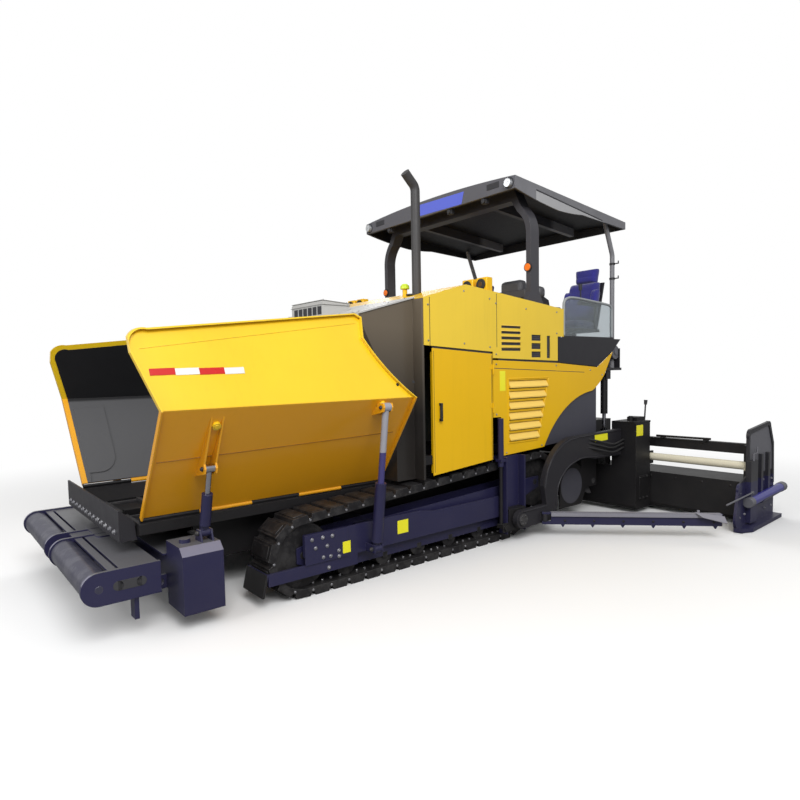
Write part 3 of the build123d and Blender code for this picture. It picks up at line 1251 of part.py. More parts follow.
def blade():
    """Left retaining blade with its feet, hinge eye and the strut towards the end gate."""
    t = 36
    low, high = BLADE_LOW, BLADE_HIGH
    start = 60
    plate = box(start, BLADE_LENGTH, -t / 2, t / 2, low + 30, high)
    top = box(start, BLADE_LENGTH, -t / 2 - 14, t / 2 + 14, high - 10, high)
    feet = []
    for k in range(6):
        x = 180 + (BLADE_LENGTH - 240) / 5 * k
        feet.append(slab("xz", -10, 10, (x - 22, low + 31), (x + 22, low + 31), (x + 3, low), (x - 3, low)))
    ears = [
        box(-30, start + 1, -t / 2, t / 2, low + 30, low + 60 - RUN),
        box(-30, start + 1, -t / 2, t / 2, high - 20 + RUN, high),
    ]
    body = cut(join(plate, top, feet, ears), bar((0, 0, 0), (0, 0, 500), BLADE_PIN_R + 0.05))
    return [piece.rotate(Axis.Z, BLADE_ANGLE).translate(Vector(BLADE_X, BLADE_Y, 0)) for piece in body]


# ---------------------------------------------------------------- nodes
def nodes():
    """Every node's name and its solids."""
    parts = {
        "main_frame": main_frame(),
        "tunnel_housing": tunnel_housing(),
        "hopper_beams": hopper_beams(),
        "conveyor": conveyor(),
        "track_frames": both(*track_frame()),
        "track_wheels": both(*track_wheels()),
        "front_bumper": front_bumper(),
        "push_beam": push_beam(),
        "hopper_plates": hopper_plates(),
        "hood_sides": hood_sides(),
        "hood_cover": hood_cover(),
        "upper_panels": upper_panels(),
        "hood_top": hood_top(),
        "rear_panels": rear_panels(),
        "fenders": fenders(),
        "operator_sides": operator_sides(),
        "side_shields": side_shields(),
        "deck": deck(),
        "engine_block": engine_block(),
        "exhaust_pipe": exhaust_pipe(),
        "console": console(),
        "seats": seats(),
        "seat_cushions": seat_cushions(),
        "canopy_roof": canopy_roof(),
        "canopy_posts": canopy_posts(),
        "lamps": lamps(),
        "tow_guides": tow_guides(),
        "tow_blocks": tow_blocks(),
        "screed_arms": screed_arms(),
        "screed_main": screed_main(),
        "lift_barrels": lift_barrels(),
        "lift_rods": lift_rods(),
        "auger_carrier": auger_carrier(),
    }
    pairs = {
        "track": track(),
        "push_roller": push_roller(),
        "wing": wing(),
        "wing_liner": wing_liner(),
        "door": door(),
        "extension": extension(),
        "end_gate": end_gate(),
        "auger": auger(),
        "blade": blade(),
    }
    for row in RAMS:
        pairs[f"{row[0]}_ram_barrel"] = ram_barrel(row)
        pairs[f"{row[0]}_ram_rod"] = ram_rod(row)
    for name, shapes in pairs.items():
        parts[f"{name}_left"] = shapes
        parts[f"{name}_right"] = mirrored(*shapes)
    return parts


os.makedirs("parts", exist_ok=True)
for name, shapes in nodes().items():
    pieces = solids(shapes)
    export_step(pieces[0] if len(pieces) == 1 else Compound(children=pieces), f"parts/{name}.step")
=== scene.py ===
# %% [markdown]
# # An asphalt paver on tracks
# A paver takes hot asphalt from a truck into its hopper, carries it back on slat conveyors, spreads it
# with augers and lays it flat under a heated screed. Its construction comes packed from the CAD tool:
# every solid stands at its real place in metres, with +X forward, +Y to the machine's left and +Z up.
# This lesson gives those solids their finish, and adds the small things that a maker bolts on last.

# %% Load the frame that everything rides on
import json
import math

import bmesh
import bpy
from mathutils import Matrix, Vector


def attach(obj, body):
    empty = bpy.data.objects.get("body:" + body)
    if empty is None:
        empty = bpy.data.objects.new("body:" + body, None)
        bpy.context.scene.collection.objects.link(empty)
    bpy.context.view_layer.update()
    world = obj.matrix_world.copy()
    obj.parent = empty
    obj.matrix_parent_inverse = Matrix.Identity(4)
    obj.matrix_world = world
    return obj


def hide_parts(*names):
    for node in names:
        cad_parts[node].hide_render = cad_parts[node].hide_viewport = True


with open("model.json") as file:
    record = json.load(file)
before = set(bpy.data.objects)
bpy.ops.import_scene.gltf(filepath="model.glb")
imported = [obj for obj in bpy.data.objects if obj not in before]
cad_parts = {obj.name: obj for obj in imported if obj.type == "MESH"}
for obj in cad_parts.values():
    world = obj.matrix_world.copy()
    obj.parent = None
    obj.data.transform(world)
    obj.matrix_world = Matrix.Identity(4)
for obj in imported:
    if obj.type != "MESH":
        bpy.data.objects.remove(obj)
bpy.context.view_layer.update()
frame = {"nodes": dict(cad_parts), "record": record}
nodes = frame["nodes"]

# %% [markdown]
# ## Camera
# A machine this size is usually pictured by a person standing near a front corner. A lens of 27 mm takes
# all of it from a few metres off, with the strong perspective that makes the near wing look large. The
# camera is written as the point it stands on and the direction it looks in.

# %% Stand the camera at eye height beside the hopper
EYE = Vector((4.296, 5.188, 1.758))
LOOK = Vector((-0.62837, -0.77536, -0.06301))
UPWARD = Vector((-0.05459, -0.03685, 0.99783))
LENS = 26.77
SHIFT = (0.0112, 0.0102)


def in_scene(name, data):
    """A new object of the scene that shows the data."""
    thing = bpy.data.objects.new(name, data)
    bpy.context.scene.collection.objects.link(thing)
    return thing


def stand_camera():
    data = bpy.data.cameras.new("camera")
    data.lens, data.sensor_width = LENS, 36
    data.shift_x, data.shift_y = SHIFT
    data.clip_start, data.clip_end = 0.1, 200
    camera = in_scene("camera", data)
    back = -LOOK.normalized()
    right = UPWARD.cross(back).normalized()
    turn = Matrix((right, back.cross(right), back)).transposed()
    camera.matrix_world = Matrix.Translation(EYE) @ turn.to_4x4()
    bpy.context.scene.camera = camera
    return camera


print("camera at", tuple(round(v, 2) for v in stand_camera().location))

# %% [markdown]
# ## Node helpers
# A material is a tree of nodes. These helpers write one in few words: `add` makes a node, and `calculate`,
# `spread` and `mixed` join values to new ones. Each takes plain numbers and other nodes' outputs alike.

# %% Helpers that build node trees from few words
def fill(socket, value):
    """Gives a socket its value: another node's output is linked, and a number or colour is written in."""
    if isinstance(value, bpy.types.NodeSocket):
        socket.id_data.links.new(value, socket)
    else:
        socket.default_value = value


def settle(node, **values):
    """Sets a node's values by name. A socket's name has a capital, and a property's has none."""
    for name, value in values.items():
        if name[0].islower():
            setattr(node, name, value)
        else:
            fill(node.inputs[name.replace("_", " ")], value)
    return node


def add(tree, kind, **values):
    """A new shader node with its values."""
    return settle(tree.nodes.new("ShaderNode" + kind), **values)


def join(kind, places, values, **settings):
    """A new node in the tree that its values come from. Its sockets are given by their places or names."""
    tree = next(value.id_data for value in values if isinstance(value, bpy.types.NodeSocket))
    node = add(tree, kind, **settings)
    for place, value in zip(places, values):
        fill(node.inputs[place], value)
    return node


def calculate(operation, a, b=0.5, clamp=False):
    return join("Math", range(2), (a, b), operation=operation, use_clamp=clamp).outputs[0]


def product(a, b, clamp=False):
    return calculate("MULTIPLY", a, b, clamp)


def vectors(operation, *values):
    """A node that calculates with vectors; the caller takes its output, a vector or a value."""
    return join("VectorMath", range(2), values, operation=operation)


def spread(value, low, high, to_low=0.0, to_high=1.0):
    """Maps the range from low to high onto another, clamped."""
    return join("MapRange", range(5), (value, low, high, to_low, to_high)).outputs[0]


def noise(coordinates, scale, detail, roughness=0.55):
    node = join("TexNoise", ("Vector", "Scale"), (coordinates, scale), Detail=detail, Roughness=roughness)
    return node.outputs["Fac"]


def clouds(place, scale, detail, low, high, to_low=0.0, to_high=1.0):
    """Noise whose range from low to high is spread onto another."""
    return spread(noise(place, scale, detail), low, high, to_low, to_high)


def mixed(share, first, second):
    """A colour between two."""
    return join("Mix", (0, 6, 7), (share, first, second), data_type="RGBA").outputs[2]


def between(share, first, second):
    """A shader between two."""
    return join("MixShader", range(3), (share, first, second)).outputs[0]


def place_in(tree):
    """The place on the object, in the machine's own frame."""
    return add(tree, "TexCoord").outputs["Object"]


def normal_in(tree):
    return add(tree, "NewGeometry").outputs["Normal"]


def axis(place, name):
    """One coordinate of a place."""
    return join("SeparateXYZ", range(1), (place,)).outputs[name]


def group_tree(name, inputs, outputs):
    """An empty node group, as (tree, its inputs inside, output node)."""
    tree = bpy.data.node_groups.new(name, "ShaderNodeTree")
    for label, value in inputs.items():
        socket = tree.interface.new_socket(name=label, in_out="INPUT", socket_type="NodeSocketFloat")
        socket.default_value = value
    for label, kind in outputs.items():
        tree.interface.new_socket(name=label, in_out="OUTPUT", socket_type="NodeSocket" + kind)
    return tree, tree.nodes.new("NodeGroupInput").outputs, tree.nodes.new("NodeGroupOutput")


def use_group(tree, group, **values):
    return add(tree, "Group", node_tree=group, **values)


def new_material(name):
    """A material with its tree and its one shader."""
    material = bpy.data.materials.new(name)
    material.use_nodes = True
    tree = material.node_tree
    return material, tree, tree.nodes["Principled BSDF"]


def bump(shader, height, strength, distance, **normal):
    """Raises the surface by a height; normal may name the normal that it starts from."""
    node = add(shader.id_data, "Bump", Height=height, Strength=strength, Distance=distance, **normal)
    settle(shader, Normal=node.outputs["Normal"])


print("node helpers ready")

# %% [markdown]
# ## Floor and light
# A plain pale floor carries the machine's soft shadow. The world gives even light from everywhere, and
# three broad lamps add direction, so that folds in the sheet metal read. All of it is kept at a level
# at which a painted colour renders about as it is written.

# %% Lay the floor and hang the lamps
FLOOR_COLOUR = (0.84, 0.84, 0.84, 1)
FLOOR_BOUNCE = (0.24, 0.24, 0.24, 1)
BACKDROP = (1.0, 1.0, 1.0, 1)
FLOOR_REACH = 60
FADE_FROM, FADE_TO = 4.5, 9.0
WORLD_LIGHT = 0.56
LIT_POINT = Vector((0, 0, 1.4))
LAMPS = (
    # name, place, size, watts
    ("key", (4.5, 8.5, 8.0), 6.0, 960),
    ("front", (10.0, 1.0, 4.5), 5.0, 360),
    ("back", (-7.0, -6.0, 7.5), 6.0, 420),
)


def light_scene():
    """The world shows the camera, and what is seen through clear sheets, its plain backdrop."""
    world = bpy.data.worlds.new("studio")
    world.use_nodes = True
    tree = world.node_tree
    lit = settle(tree.nodes["Background"], Color=(1, 1, 1, 1), Strength=WORLD_LIGHT)
    path = add(tree, "LightPath").outputs
    seen = calculate("MAXIMUM", path["Is Camera Ray"], path["Is Transmission Ray"])
    plain = add(tree, "Background", Color=BACKDROP)
    settle(tree.nodes["World Output"], Surface=between(seen, lit.outputs[0], plain.outputs[0]))
    bpy.context.scene.world = world
    for name, place, size, power in LAMPS:
        lamp = bpy.data.lights.new(name, "AREA")
        lamp.size, lamp.energy = size, power
        stand = in_scene(name, lamp)
        stand.location = place
        stand.rotation_euler = (LIT_POINT - Vector(place)).to_track_quat("-Z", "Y").to_euler()


def lay_floor():
    """A pale floor whose far part fades into the plain backdrop, and which throws little light back up."""
    mesh = bpy.data.meshes.new("floor")
    corners = [(x * FLOOR_REACH, y * FLOOR_REACH, 0) for x, y in ((-1, -1), (1, -1), (1, 1), (-1, 1))]
    mesh.from_pydata(corners, [], [(0, 1, 2, 3)])
    material, tree, shader = new_material("floor")
    seen = add(tree, "LightPath").outputs["Is Camera Ray"]
    colour = mixed(seen, FLOOR_BOUNCE, FLOOR_COLOUR)
    settle(shader, Base_Color=colour, Roughness=0.9, Specular_IOR_Level=0.1)
    far = vectors("LENGTH", add(tree, "NewGeometry").outputs["Position"]).outputs["Value"]
    fade = spread(far, FADE_FROM, FADE_TO)
    fade.node.interpolation_type = "SMOOTHSTEP"
    glow = add(tree, "Emission", Color=BACKDROP)
    surface = between(product(fade, seen), shader.outputs[0], glow.outputs[0])
    settle(tree.nodes["Material Output"], Surface=surface)
    mesh.materials.append(material)
    floor = in_scene("floor", mesh)


bpy.context.scene.view_settings.view_transform = "Standard"
light_scene()
lay_floor()
print("lamps:", [row[0] for row in LAMPS])

# %% [markdown]
# ## Shader groups
# Paint on a working machine is never one flat colour: edges are rubbed bright, dust lies on what faces
# up and on what is near the ground, and rain draws streaks down the sides. Several materials share
# these effects, so each is a node group with named inputs, built once. A group gives out masks,
# colours and normals only; the shader stays in each material, where it can be read and exported.
#
# **Worn edges.** A Bevel node gives the normal that a rounded edge would have. Where it differs from
# the real normal there is an edge, and a noise breaks that line up into chips. The same rounded normal
# goes out of the group, so that sharp sheet-metal edges catch a thin highlight as real ones do.

# %% Build the worn-edge group
def build_worn_edges():
    inputs = {"Radius": 0.004, "Amount": 0.5, "Chip Scale": 30.0}
    tree, given, end = group_tree("worn edges", inputs, {"Mask": "Float", "Normal": "Vector"})
    rounded = add(tree, "Bevel", samples=4, Radius=given["Radius"]).outputs["Normal"]
    facing = vectors("DOT_PRODUCT", rounded, normal_in(tree)).outputs["Value"]
    edge = spread(facing, 0.995, 0.90)
    chips = noise(place_in(tree), given["Chip Scale"], 5.0, 0.7)
    worn = product(edge, spread(chips, 0.42, 0.62))
    settle(end, Mask=product(worn, given["Amount"], clamp=True), Normal=rounded)
    return tree


WORN_EDGES = build_worn_edges()
print("group:", WORN_EDGES.name)

# %% [markdown]
# **Road dust.** Dust settles on faces that look up and is thrown over everything near the ground. The
# group reads the height in the machine's own frame, so a wing that is tilted keeps its dust.

# %% Build the dust group
def build_road_dust():
    inputs = {"Reach": 1.2, "On Top": 0.5, "Low Down": 0.6, "Patch Scale": 3.0}
    tree, given, end = group_tree("road dust", inputs, {"Mask": "Float"})
    place = place_in(tree)
    patches = noise(place, given["Patch Scale"], 6.0, 0.62)
    fine = noise(place, 90.0, 3.0, 0.6)
    up = product(spread(axis(normal_in(tree), "Z"), 0.55, 1.0), given["On Top"])
    low = product(spread(axis(place, "Z"), given["Reach"], 0.0), given["Low Down"])
    laid = calculate("ADD", up, low)
    patchy = product(laid, spread(patches, 0.30, 0.68, 0.25, 1.0))
    settle(end, Mask=product(patchy, spread(fine, 0.3, 0.7, 0.75, 1.1), clamp=True))
    return tree


ROAD_DUST = build_road_dust()
print("group:", ROAD_DUST.name)

# %% [markdown]
# **Rain streaks.** Water runs straight down a panel, so the noise is squeezed sideways: it changes
# quickly along the panel and slowly down it. A second noise lets the streaks fade in and out.

# %% Build the streak group
def build_streaks():
    tree, given, end = group_tree("rain streaks", {"Width Scale": 22.0, "Amount": 0.4}, {"Mask": "Float"})
    place = place_in(tree)
    squeezed = vectors("MULTIPLY", place, (1.0, 1.0, 0.055)).outputs[0]
    lines = spread(noise(squeezed, given["Width Scale"], 4.0, 0.6), 0.50, 0.75)
    mask = product(lines, clouds(place, 1.3, 3.0, 0.35, 0.65))
    settle(end, Mask=product(mask, given["Amount"], clamp=True))
    return tree


STREAKS = build_streaks()
print("group:", STREAKS.name)

# %% [markdown]
# **Surface grain.** Sprayed enamel has a faint orange peel, cast and rolled steel a coarser skin. One
# group mixes a fine and a coarse noise into a height for a Bump node.

# %% Build the grain group
def build_grain():
    inputs = {"Fine Scale": 220.0, "Coarse Scale": 12.0, "Coarse Share": 0.3}
    tree, given, end = group_tree("surface grain", inputs, {"Height": "Float"})
    place = place_in(tree)
    fine = noise(place, given["Fine Scale"], 2.0)
    coarse = noise(place, given["Coarse Scale"], 3.0)
    share = product(coarse, given["Coarse Share"])
    settle(end, Height=calculate("ADD", fine, share))
    return tree


GRAIN = build_grain()
print("group:", GRAIN.name)

# %% [markdown]
# ## Enamel
# The panels are rolled sheet under sprayed enamel. The base colour drifts a little over a large panel,
# chips show bare steel along the edges, dust greys the low parts, and the clear outer layer gives
# the sheen. One function builds this finish from a row of numbers, so every painted colour is a row.

# %% Build enamel from a table of colours
def linear(r, g, b):
    """A colour written the usual way, 0 to 255, as the linear numbers that a shader takes."""
    parts = []
    for value in (r, g, b):
        share = value / 255
        parts.append(share / 12.92 if share <= 0.04045 else ((share + 0.055) / 1.055) ** 2.4)
    return (*parts, 1.0)


def toned(colour, by):
    """A colour made darker or paler."""
    return tuple(min(1.0, c * by) for c in colour[:3]) + (1.0,)


DUST_COLOUR = linear(104, 100, 94)
BARE_STEEL = linear(120, 118, 116)
SOOT = linear(20, 20, 20)


def enamel(name, colour, drift, rough, dust, wear, coat, pattern=None):
    """Sprayed paint: colour drift, chipped edges, dust and streaks; a pattern may recolour places."""
    material, tree, shader = new_material(name)
    place = place_in(tree)
    paint = mixed(clouds(place, 1.7, 5.0, 0.3, 0.7), toned(colour, 1 - drift), colour)
    if pattern:
        paint = pattern(place, paint)
    streaks = use_group(tree, STREAKS, Amount=0.10 + 0.25 * dust).outputs["Mask"]
    edges = use_group(tree, WORN_EDGES, Amount=wear).outputs
    soil = use_group(tree, ROAD_DUST, On_Top=0.22 * dust, Low_Down=0.75 * dust).outputs["Mask"]
    streaked = mixed(streaks, paint, mixed(0.45, paint, SOOT))
    chipped = mixed(edges["Mask"], streaked, BARE_STEEL)
    dull = spread(soil, 0.0, 0.7, rough, 0.85)
    uneven = clouds(place, 7.0, 4.0, 0.2, 0.8, -0.05, 0.05)
    settle(
        shader, Base_Color=mixed(soil, chipped, DUST_COLOUR), Metallic=product(edges["Mask"], 0.8),
        Roughness=calculate("ADD", dull, uneven, clamp=True),
        Coat_Weight=coat, Coat_Roughness=0.16, Specular_IOR_Level=0.35,
    )
    skin = use_group(tree, GRAIN, Fine_Scale=260.0, Coarse_Scale=5.0, Coarse_Share=1.5)
    bump(shader, skin.outputs["Height"], 0.05, 0.002, Normal=edges["Normal"])
    return material


ENAMELS = {
    # slot: colour, drift, roughness, dust, wear, coat
    "body_yellow": (linear(232, 182, 6), 0.05, 0.38, 0.05, 0.25, 0.12),
    "wing_yellow": (linear(238, 197, 32), 0.07, 0.34, 0.06, 0.35, 0.55),
    "frame_navy": (linear(34, 33, 68), 0.12, 0.36, 0.12, 0.35, 0.22),
    "charcoal": (linear(38, 37, 42), 0.12, 0.46, 0.09, 0.25, 0.06),
    "frame_black": (linear(20, 19, 22), 0.15, 0.48, 0.10, 0.30, 0.05),
    "cover_grey": (linear(182, 181, 178), 0.06, 0.50, 0.12, 0.10, 0.05),
    "exhaust_steel": (linear(66, 65, 66), 0.20, 0.50, 0.05, 0.25, 0.0),
    "engine_iron": (linear(90, 94, 90), 0.15, 0.55, 0.30, 0.30, 0.0),
    # finishes of their own, besides the slots' plain ones
    "upper_yellow": (linear(236, 200, 58), 0.05, 0.36, 0.03, 0.20, 0.15),
    "pale_yellow": (linear(244, 205, 96), 0.04, 0.42, 0.05, 0.10, 0.25),
    "fender_grey": (linear(68, 68, 77), 0.10, 0.46, 0.15, 0.20, 0.10),
    "sign_yellow": (linear(240, 232, 40), 0.02, 0.35, 0.0, 0.0, 0.40),
    "marker_red": (linear(196, 26, 22), 0.03, 0.30, 0.05, 0.0, 0.50),
    "marker_white": (linear(226, 226, 222), 0.03, 0.30, 0.05, 0.0, 0.50),
    "roof_blue": (linear(92, 106, 214), 0.03, 0.40, 0.05, 0.0, 0.30),
    "cap_lime": (linear(196, 218, 50), 0.03, 0.35, 0.0, 0.0, 0.40),
    "brace_blue": (linear(46, 44, 132), 0.05, 0.30, 0.05, 0.15, 0.50),
    "shield_grey": (linear(98, 98, 104), 0.08, 0.45, 0.10, 0.15, 0.10),
    "flange_grey": (linear(132, 131, 140), 0.08, 0.45, 0.10, 0.15, 0.10),
    "post_grey": (linear(62, 61, 66), 0.08, 0.40, 0.05, 0.15, 0.15),
    "rim_pale": (linear(150, 154, 156), 0.05, 0.40, 0.05, 0.10, 0.15),
    "weld_ochre": (linear(150, 98, 20), 0.05, 0.50, 0.30, 0.10, 0.10),
}
FINISHES = {name: enamel(name, *row) for name, row in ENAMELS.items()}
print("enamels:", list(FINISHES))

# %% [markdown]
# ## Bare and worn steel
# Track shoes, slats and push rollers are never painted for long: stones polish their high places and
# leave the rest dark. The same worn-edge group therefore drives how metallic the surface is. Chrome on
# a rod is nearly a mirror, broken only by a film of oil.

# %% Build the steels
def steel(name, dark, bright, rough, dust, edge, polish, grain):
    """Dark rolled or cast steel, polished bright on its edges and in patches."""
    material, tree, shader = new_material(name)
    edges = use_group(tree, WORN_EDGES, Radius=0.006, Amount=edge, Chip_Scale=45.0).outputs
    soil = use_group(tree, ROAD_DUST, On_Top=0.3 * dust, Low_Down=dust, Patch_Scale=6.0).outputs["Mask"]
    patches = spread(noise(place_in(tree), 9.0, 6.0, 0.65), 0.45, 0.62)
    shine = calculate("MAXIMUM", product(patches, polish), edges["Mask"], clamp=True)
    base = spread(shine, 0.0, 1.0, rough, rough * 0.55)
    film = spread(soil, 0.0, 0.6, 0.0, 0.4)
    settle(
        shader, Base_Color=mixed(soil, mixed(shine, dark, bright), DUST_COLOUR),
        Metallic=spread(shine, 0.0, 1.0, 0.45, 0.95),
        Roughness=calculate("ADD", base, film, clamp=True),
    )
    skin = use_group(tree, GRAIN, Fine_Scale=150.0, Coarse_Scale=25.0, Coarse_Share=1.0)
    bump(shader, skin.outputs["Height"], grain, 0.003, Normal=edges["Normal"])
    return material


STEELS = {
    # slot: dark colour, bright colour, roughness, dust, edge wear, polish, grain
    "track_steel": (linear(30, 29, 32), linear(118, 116, 116), 0.55, 0.08, 0.8, 0.22, 0.35),
    "wear_steel": (linear(62, 61, 64), linear(128, 127, 126), 0.50, 0.12, 0.6, 0.30, 0.25),
    "roller_steel": (linear(128, 128, 134), linear(205, 205, 208), 0.34, 0.10, 0.5, 0.70, 0.12),
    "worn_roller": (linear(66, 66, 84), linear(150, 150, 158), 0.30, 0.06, 0.5, 0.22, 0.10),
}
FINISHES.update({name: steel(name, *row) for name, row in STEELS.items()})


def chrome(name):
    """Hard chrome with a film of oil: a mirror with faint bands of dulness."""
    material, tree, shader = new_material(name)
    film = clouds(place_in(tree), 18.0, 5.0, 0.35, 0.7, 0.10, 0.30)
    settle(shader, Base_Color=linear(176, 176, 184), Metallic=1.0, Roughness=film)
    bump(shader, use_group(tree, GRAIN, Fine_Scale=600.0).outputs["Height"], 0.04, 0.001)
    return material


FINISHES["rod_chrome"] = chrome("rod_chrome")
print("steels:", [*STEELS, "rod_chrome"])

# %% [markdown]
# ## Moulded plastic, clear shields, lamps and seat cloth
# The roof is moulded plastic with a fine grain. The side shields are clear sheet, so they keep a plain
# transmission and only their dust has a pattern. The lamps are clear covers over bright reflectors, and
# the seat cloth is a tight weave with a soft sheen.

# %% Build the plastics, the glass and the cloth
def moulded(name, colour, rough, dust, grain=0.25, pattern=None):
    """Moulded plastic or rubber: fine grain, scuffs and a little dust; a pattern may recolour places."""
    material, tree, shader = new_material(name)
    place = place_in(tree)
    tone = mixed(clouds(place, 3.0, 5.0, 0.35, 0.7), colour, toned(colour, 1.25))
    if pattern:
        tone = pattern(place, tone)
    edges = use_group(tree, WORN_EDGES, Radius=0.005, Amount=0.25).outputs
    soil = use_group(tree, ROAD_DUST, On_Top=0.5 * dust, Low_Down=dust).outputs["Mask"]
    scuffed = mixed(edges["Mask"], tone, toned(colour, 1.8))
    dull = clouds(place, 40.0, 3.0, 0.2, 0.8, rough - 0.06, rough + 0.06)
    settle(shader, Base_Color=mixed(soil, scuffed, DUST_COLOUR), Roughness=dull)
    skin = use_group(tree, GRAIN, Fine_Scale=420.0, Coarse_Scale=60.0, Coarse_Share=0.5)
    bump(shader, skin.outputs["Height"], grain, 0.0015, Normal=edges["Normal"])
    return material


def clear_sheet(name):
    """Clear plastic sheet with a film of dust that scatters a little light."""
    material, tree, shader = new_material(name)
    film = spread(noise(place_in(tree), 6.0, 6.0, 0.6), 0.35, 0.75, 0.04, 0.16)
    settle(shader, Base_Color=linear(186, 194, 198), Transmission_Weight=0.82, IOR=1.2, Roughness=film)
    return material


def lamp_cover(name):
    """A ribbed clear cover over a bright reflector."""
    material, tree, shader = new_material(name)
    ribs = add(tree, "TexWave", Vector=place_in(tree), Scale=90.0, bands_direction="Y").outputs["Fac"]
    tone = mixed(ribs, linear(170, 174, 180), linear(235, 238, 240))
    settle(shader, Base_Color=tone, Metallic=0.6, Roughness=0.12, Coat_Weight=1.0)
    bump(shader, ribs, 0.3, 0.002)
    return material


def woven_cloth(name, colour):
    """Seat cloth: crossed waves make the weave, and a sheen makes its soft edge."""
    material, tree, shader = new_material(name)
    place = place_in(tree)
    threads = []
    for direction in "XYZ":
        wave = add(tree, "TexWave", Vector=place, Scale=160.0, Distortion=0.6, bands_direction=direction)
        threads.append(wave.outputs["Fac"])
    weave = product(calculate("ADD", threads[0], threads[1]), 0.5)
    weave = calculate("ADD", weave, product(threads[2], 0.5))
    worn = product(weave, clouds(place, 5.0, 5.0, 0.3, 0.7), clamp=True)
    tone = mixed(worn, toned(colour, 0.6), colour)
    settle(shader, Base_Color=tone, Roughness=0.85, Sheen_Weight=0.4)
    bump(shader, weave, 0.35, 0.002)
    return material


PLASTICS = {
    # slot: colour, roughness, dust, grain
    "roof_dark": (linear(44, 44, 48), 0.6, 0.1, 0.4),
    "black_rubber": (linear(30, 30, 32), 0.6, 0.2, 0.3),
    "console_grey": (linear(66, 66, 70), 0.5, 0.15),
    "amber": (linear(226, 112, 16), 0.2, 0.0, 0.05),
    "lens_smoke": (linear(82, 62, 36), 0.15, 0.0, 0.05),
}
FINISHES.update({name: moulded(name, *row) for name, row in PLASTICS.items()})
FINISHES["shield_clear"] = clear_sheet("shield_clear")
FINISHES["lamp_glass"] = lamp_cover("lamp_glass")
FINISHES["seat_fabric"] = woven_cloth("seat_fabric", linear(40, 38, 140))
print("plastics:", list(PLASTICS))

# %% [markdown]
# ## Finishes in two colours
# Some pieces change colour part of the way along: a wing turns deeper below its fold as painted shade, a
# plate is scoured where the asphalt lies, a runner stands under a dark shield. A pattern is a function that
# recolours such places.
# The plain ones turn to a second colour along one axis, so they are rows of a table.

# %% Build the finishes that change colour along a piece
def banded(name, low, high, colour):
    """A pattern that turns to another colour along one axis, from low to high."""
    def pattern(place, paint):
        return mixed(spread(axis(place, name), low, high), paint, colour)
    return pattern


def within(value, low, high, soft=0.004):
    """One between low and high, nought outside."""
    return product(spread(value, low - soft, low), spread(value, high + soft, high))


def roof_pattern(place, tone):
    """A darker front fascia, a paler side panel, and near black painted shade inside the shell."""
    normal = normal_in(place.id_data)
    outside = mixed(spread(axis(normal, "X"), 0.5, 0.8), tone, linear(88, 88, 94))
    across = calculate("ABSOLUTE", axis(place, "Y"))
    along = axis(place, "X")
    line = calculate("ADD", product(along, 0.1136), 3.706)
    below = calculate("SUBTRACT", line, axis(place, "Z"))
    panel = product(spread(below, 0.0, 0.003), within(along, -2.38, -0.90))
    panel = product(panel, spread(across, 1.246, 1.248))
    outside = mixed(panel, outside, linear(158, 158, 160))
    inner = product(spread(across, 1.240, 1.232), within(along, -2.646, -0.575))
    # painted shade: faces inside the shell that do not look up turn near black
    shade_inside = product(inner, spread(axis(normal, "Z"), 0.5, 0.4))
    return mixed(shade_inside, outside, linear(24, 24, 28))


def tube_pattern(place, paint):
    """A cream guide tube on an otherwise black extension."""
    along = within(axis(place, "X"), -2.746, -2.654)
    tube = product(along, within(axis(place, "Z"), 0.609, 0.701))
    return mixed(tube, paint, linear(214, 208, 186))


def deck_pattern(place, paint):
    """Paint that boots and trucks have worn off the faces that look up; sloping edges are paler."""
    rise = axis(normal_in(place.id_data), "Z")
    sloped = mixed(spread(rise, 0.35, 0.45), paint, linear(112, 111, 128))
    return mixed(spread(rise, 0.90, 0.95), sloped, linear(92, 92, 96))


TWO_COLOURS = {
    # finish: the enamel it starts from, its pattern
    "extension_black": (ENAMELS["frame_black"], tube_pattern),
    "worn_navy": (ENAMELS["frame_navy"], deck_pattern),
    # a dark upper half over a navy runner
    "gate_navy": (ENAMELS["frame_navy"], banded("Z", 0.50, 0.505, linear(38, 38, 43))),
    # a bare black scraper before the track
    "guard_navy": (ENAMELS["frame_navy"], banded("X", 2.310, 2.315, linear(20, 19, 22))),
    # a deeper, more orange yellow below the wing's fold: painted shade on the lower panel, which faces down
    "wing_two": (ENAMELS["wing_yellow"], banded("Z", 1.545, 1.525, linear(228, 160, 22))),
    # wear plates near black above the fold, scoured grey below it
    "liner": ((linear(26, 26, 28), 0.1, 0.5, 0.08, 0.3, 0.0), banded("Z", 1.52, 1.50, linear(78, 78, 80))),
    # sides of the hood, dark brown with painted light that turns them paler towards the top
    "hood_lit_brown": (
        (linear(40, 37, 35), 0.1, 0.4, 0.06, 0.2, 0.2), banded("Z", 1.35, 2.15, linear(100, 90, 76)),
    ),
    # a painted middle stage under a bright rod
    "ram_stage": (
        (linear(62, 58, 112), 0.05, 0.25, 0.05, 0.1, 0.4), banded("Z", 1.1, 1.105, linear(150, 150, 158)),
    ),
    # rear posts painted paler than the front ones: painted light on their lit sides
    "posts_lit_rear": (ENAMELS["post_grey"], banded("X", -2.0, -2.1, linear(122, 122, 126))),
}
FINISHES.update({name: enamel(name, *row, pattern=pattern) for name, (row, pattern) in TWO_COLOURS.items()})
FINISHES["roof_grey"] = moulded("roof_grey", linear(104, 104, 108), 0.5, 0.15, pattern=roof_pattern)
print("materials:", len(FINISHES))

# %% [markdown]
# ## Dress the construction
# The record names a slot for every solid. Each solid keeps its shape and only takes its slot's finish,
# so that repainting one slot repaints everything that is made of it.

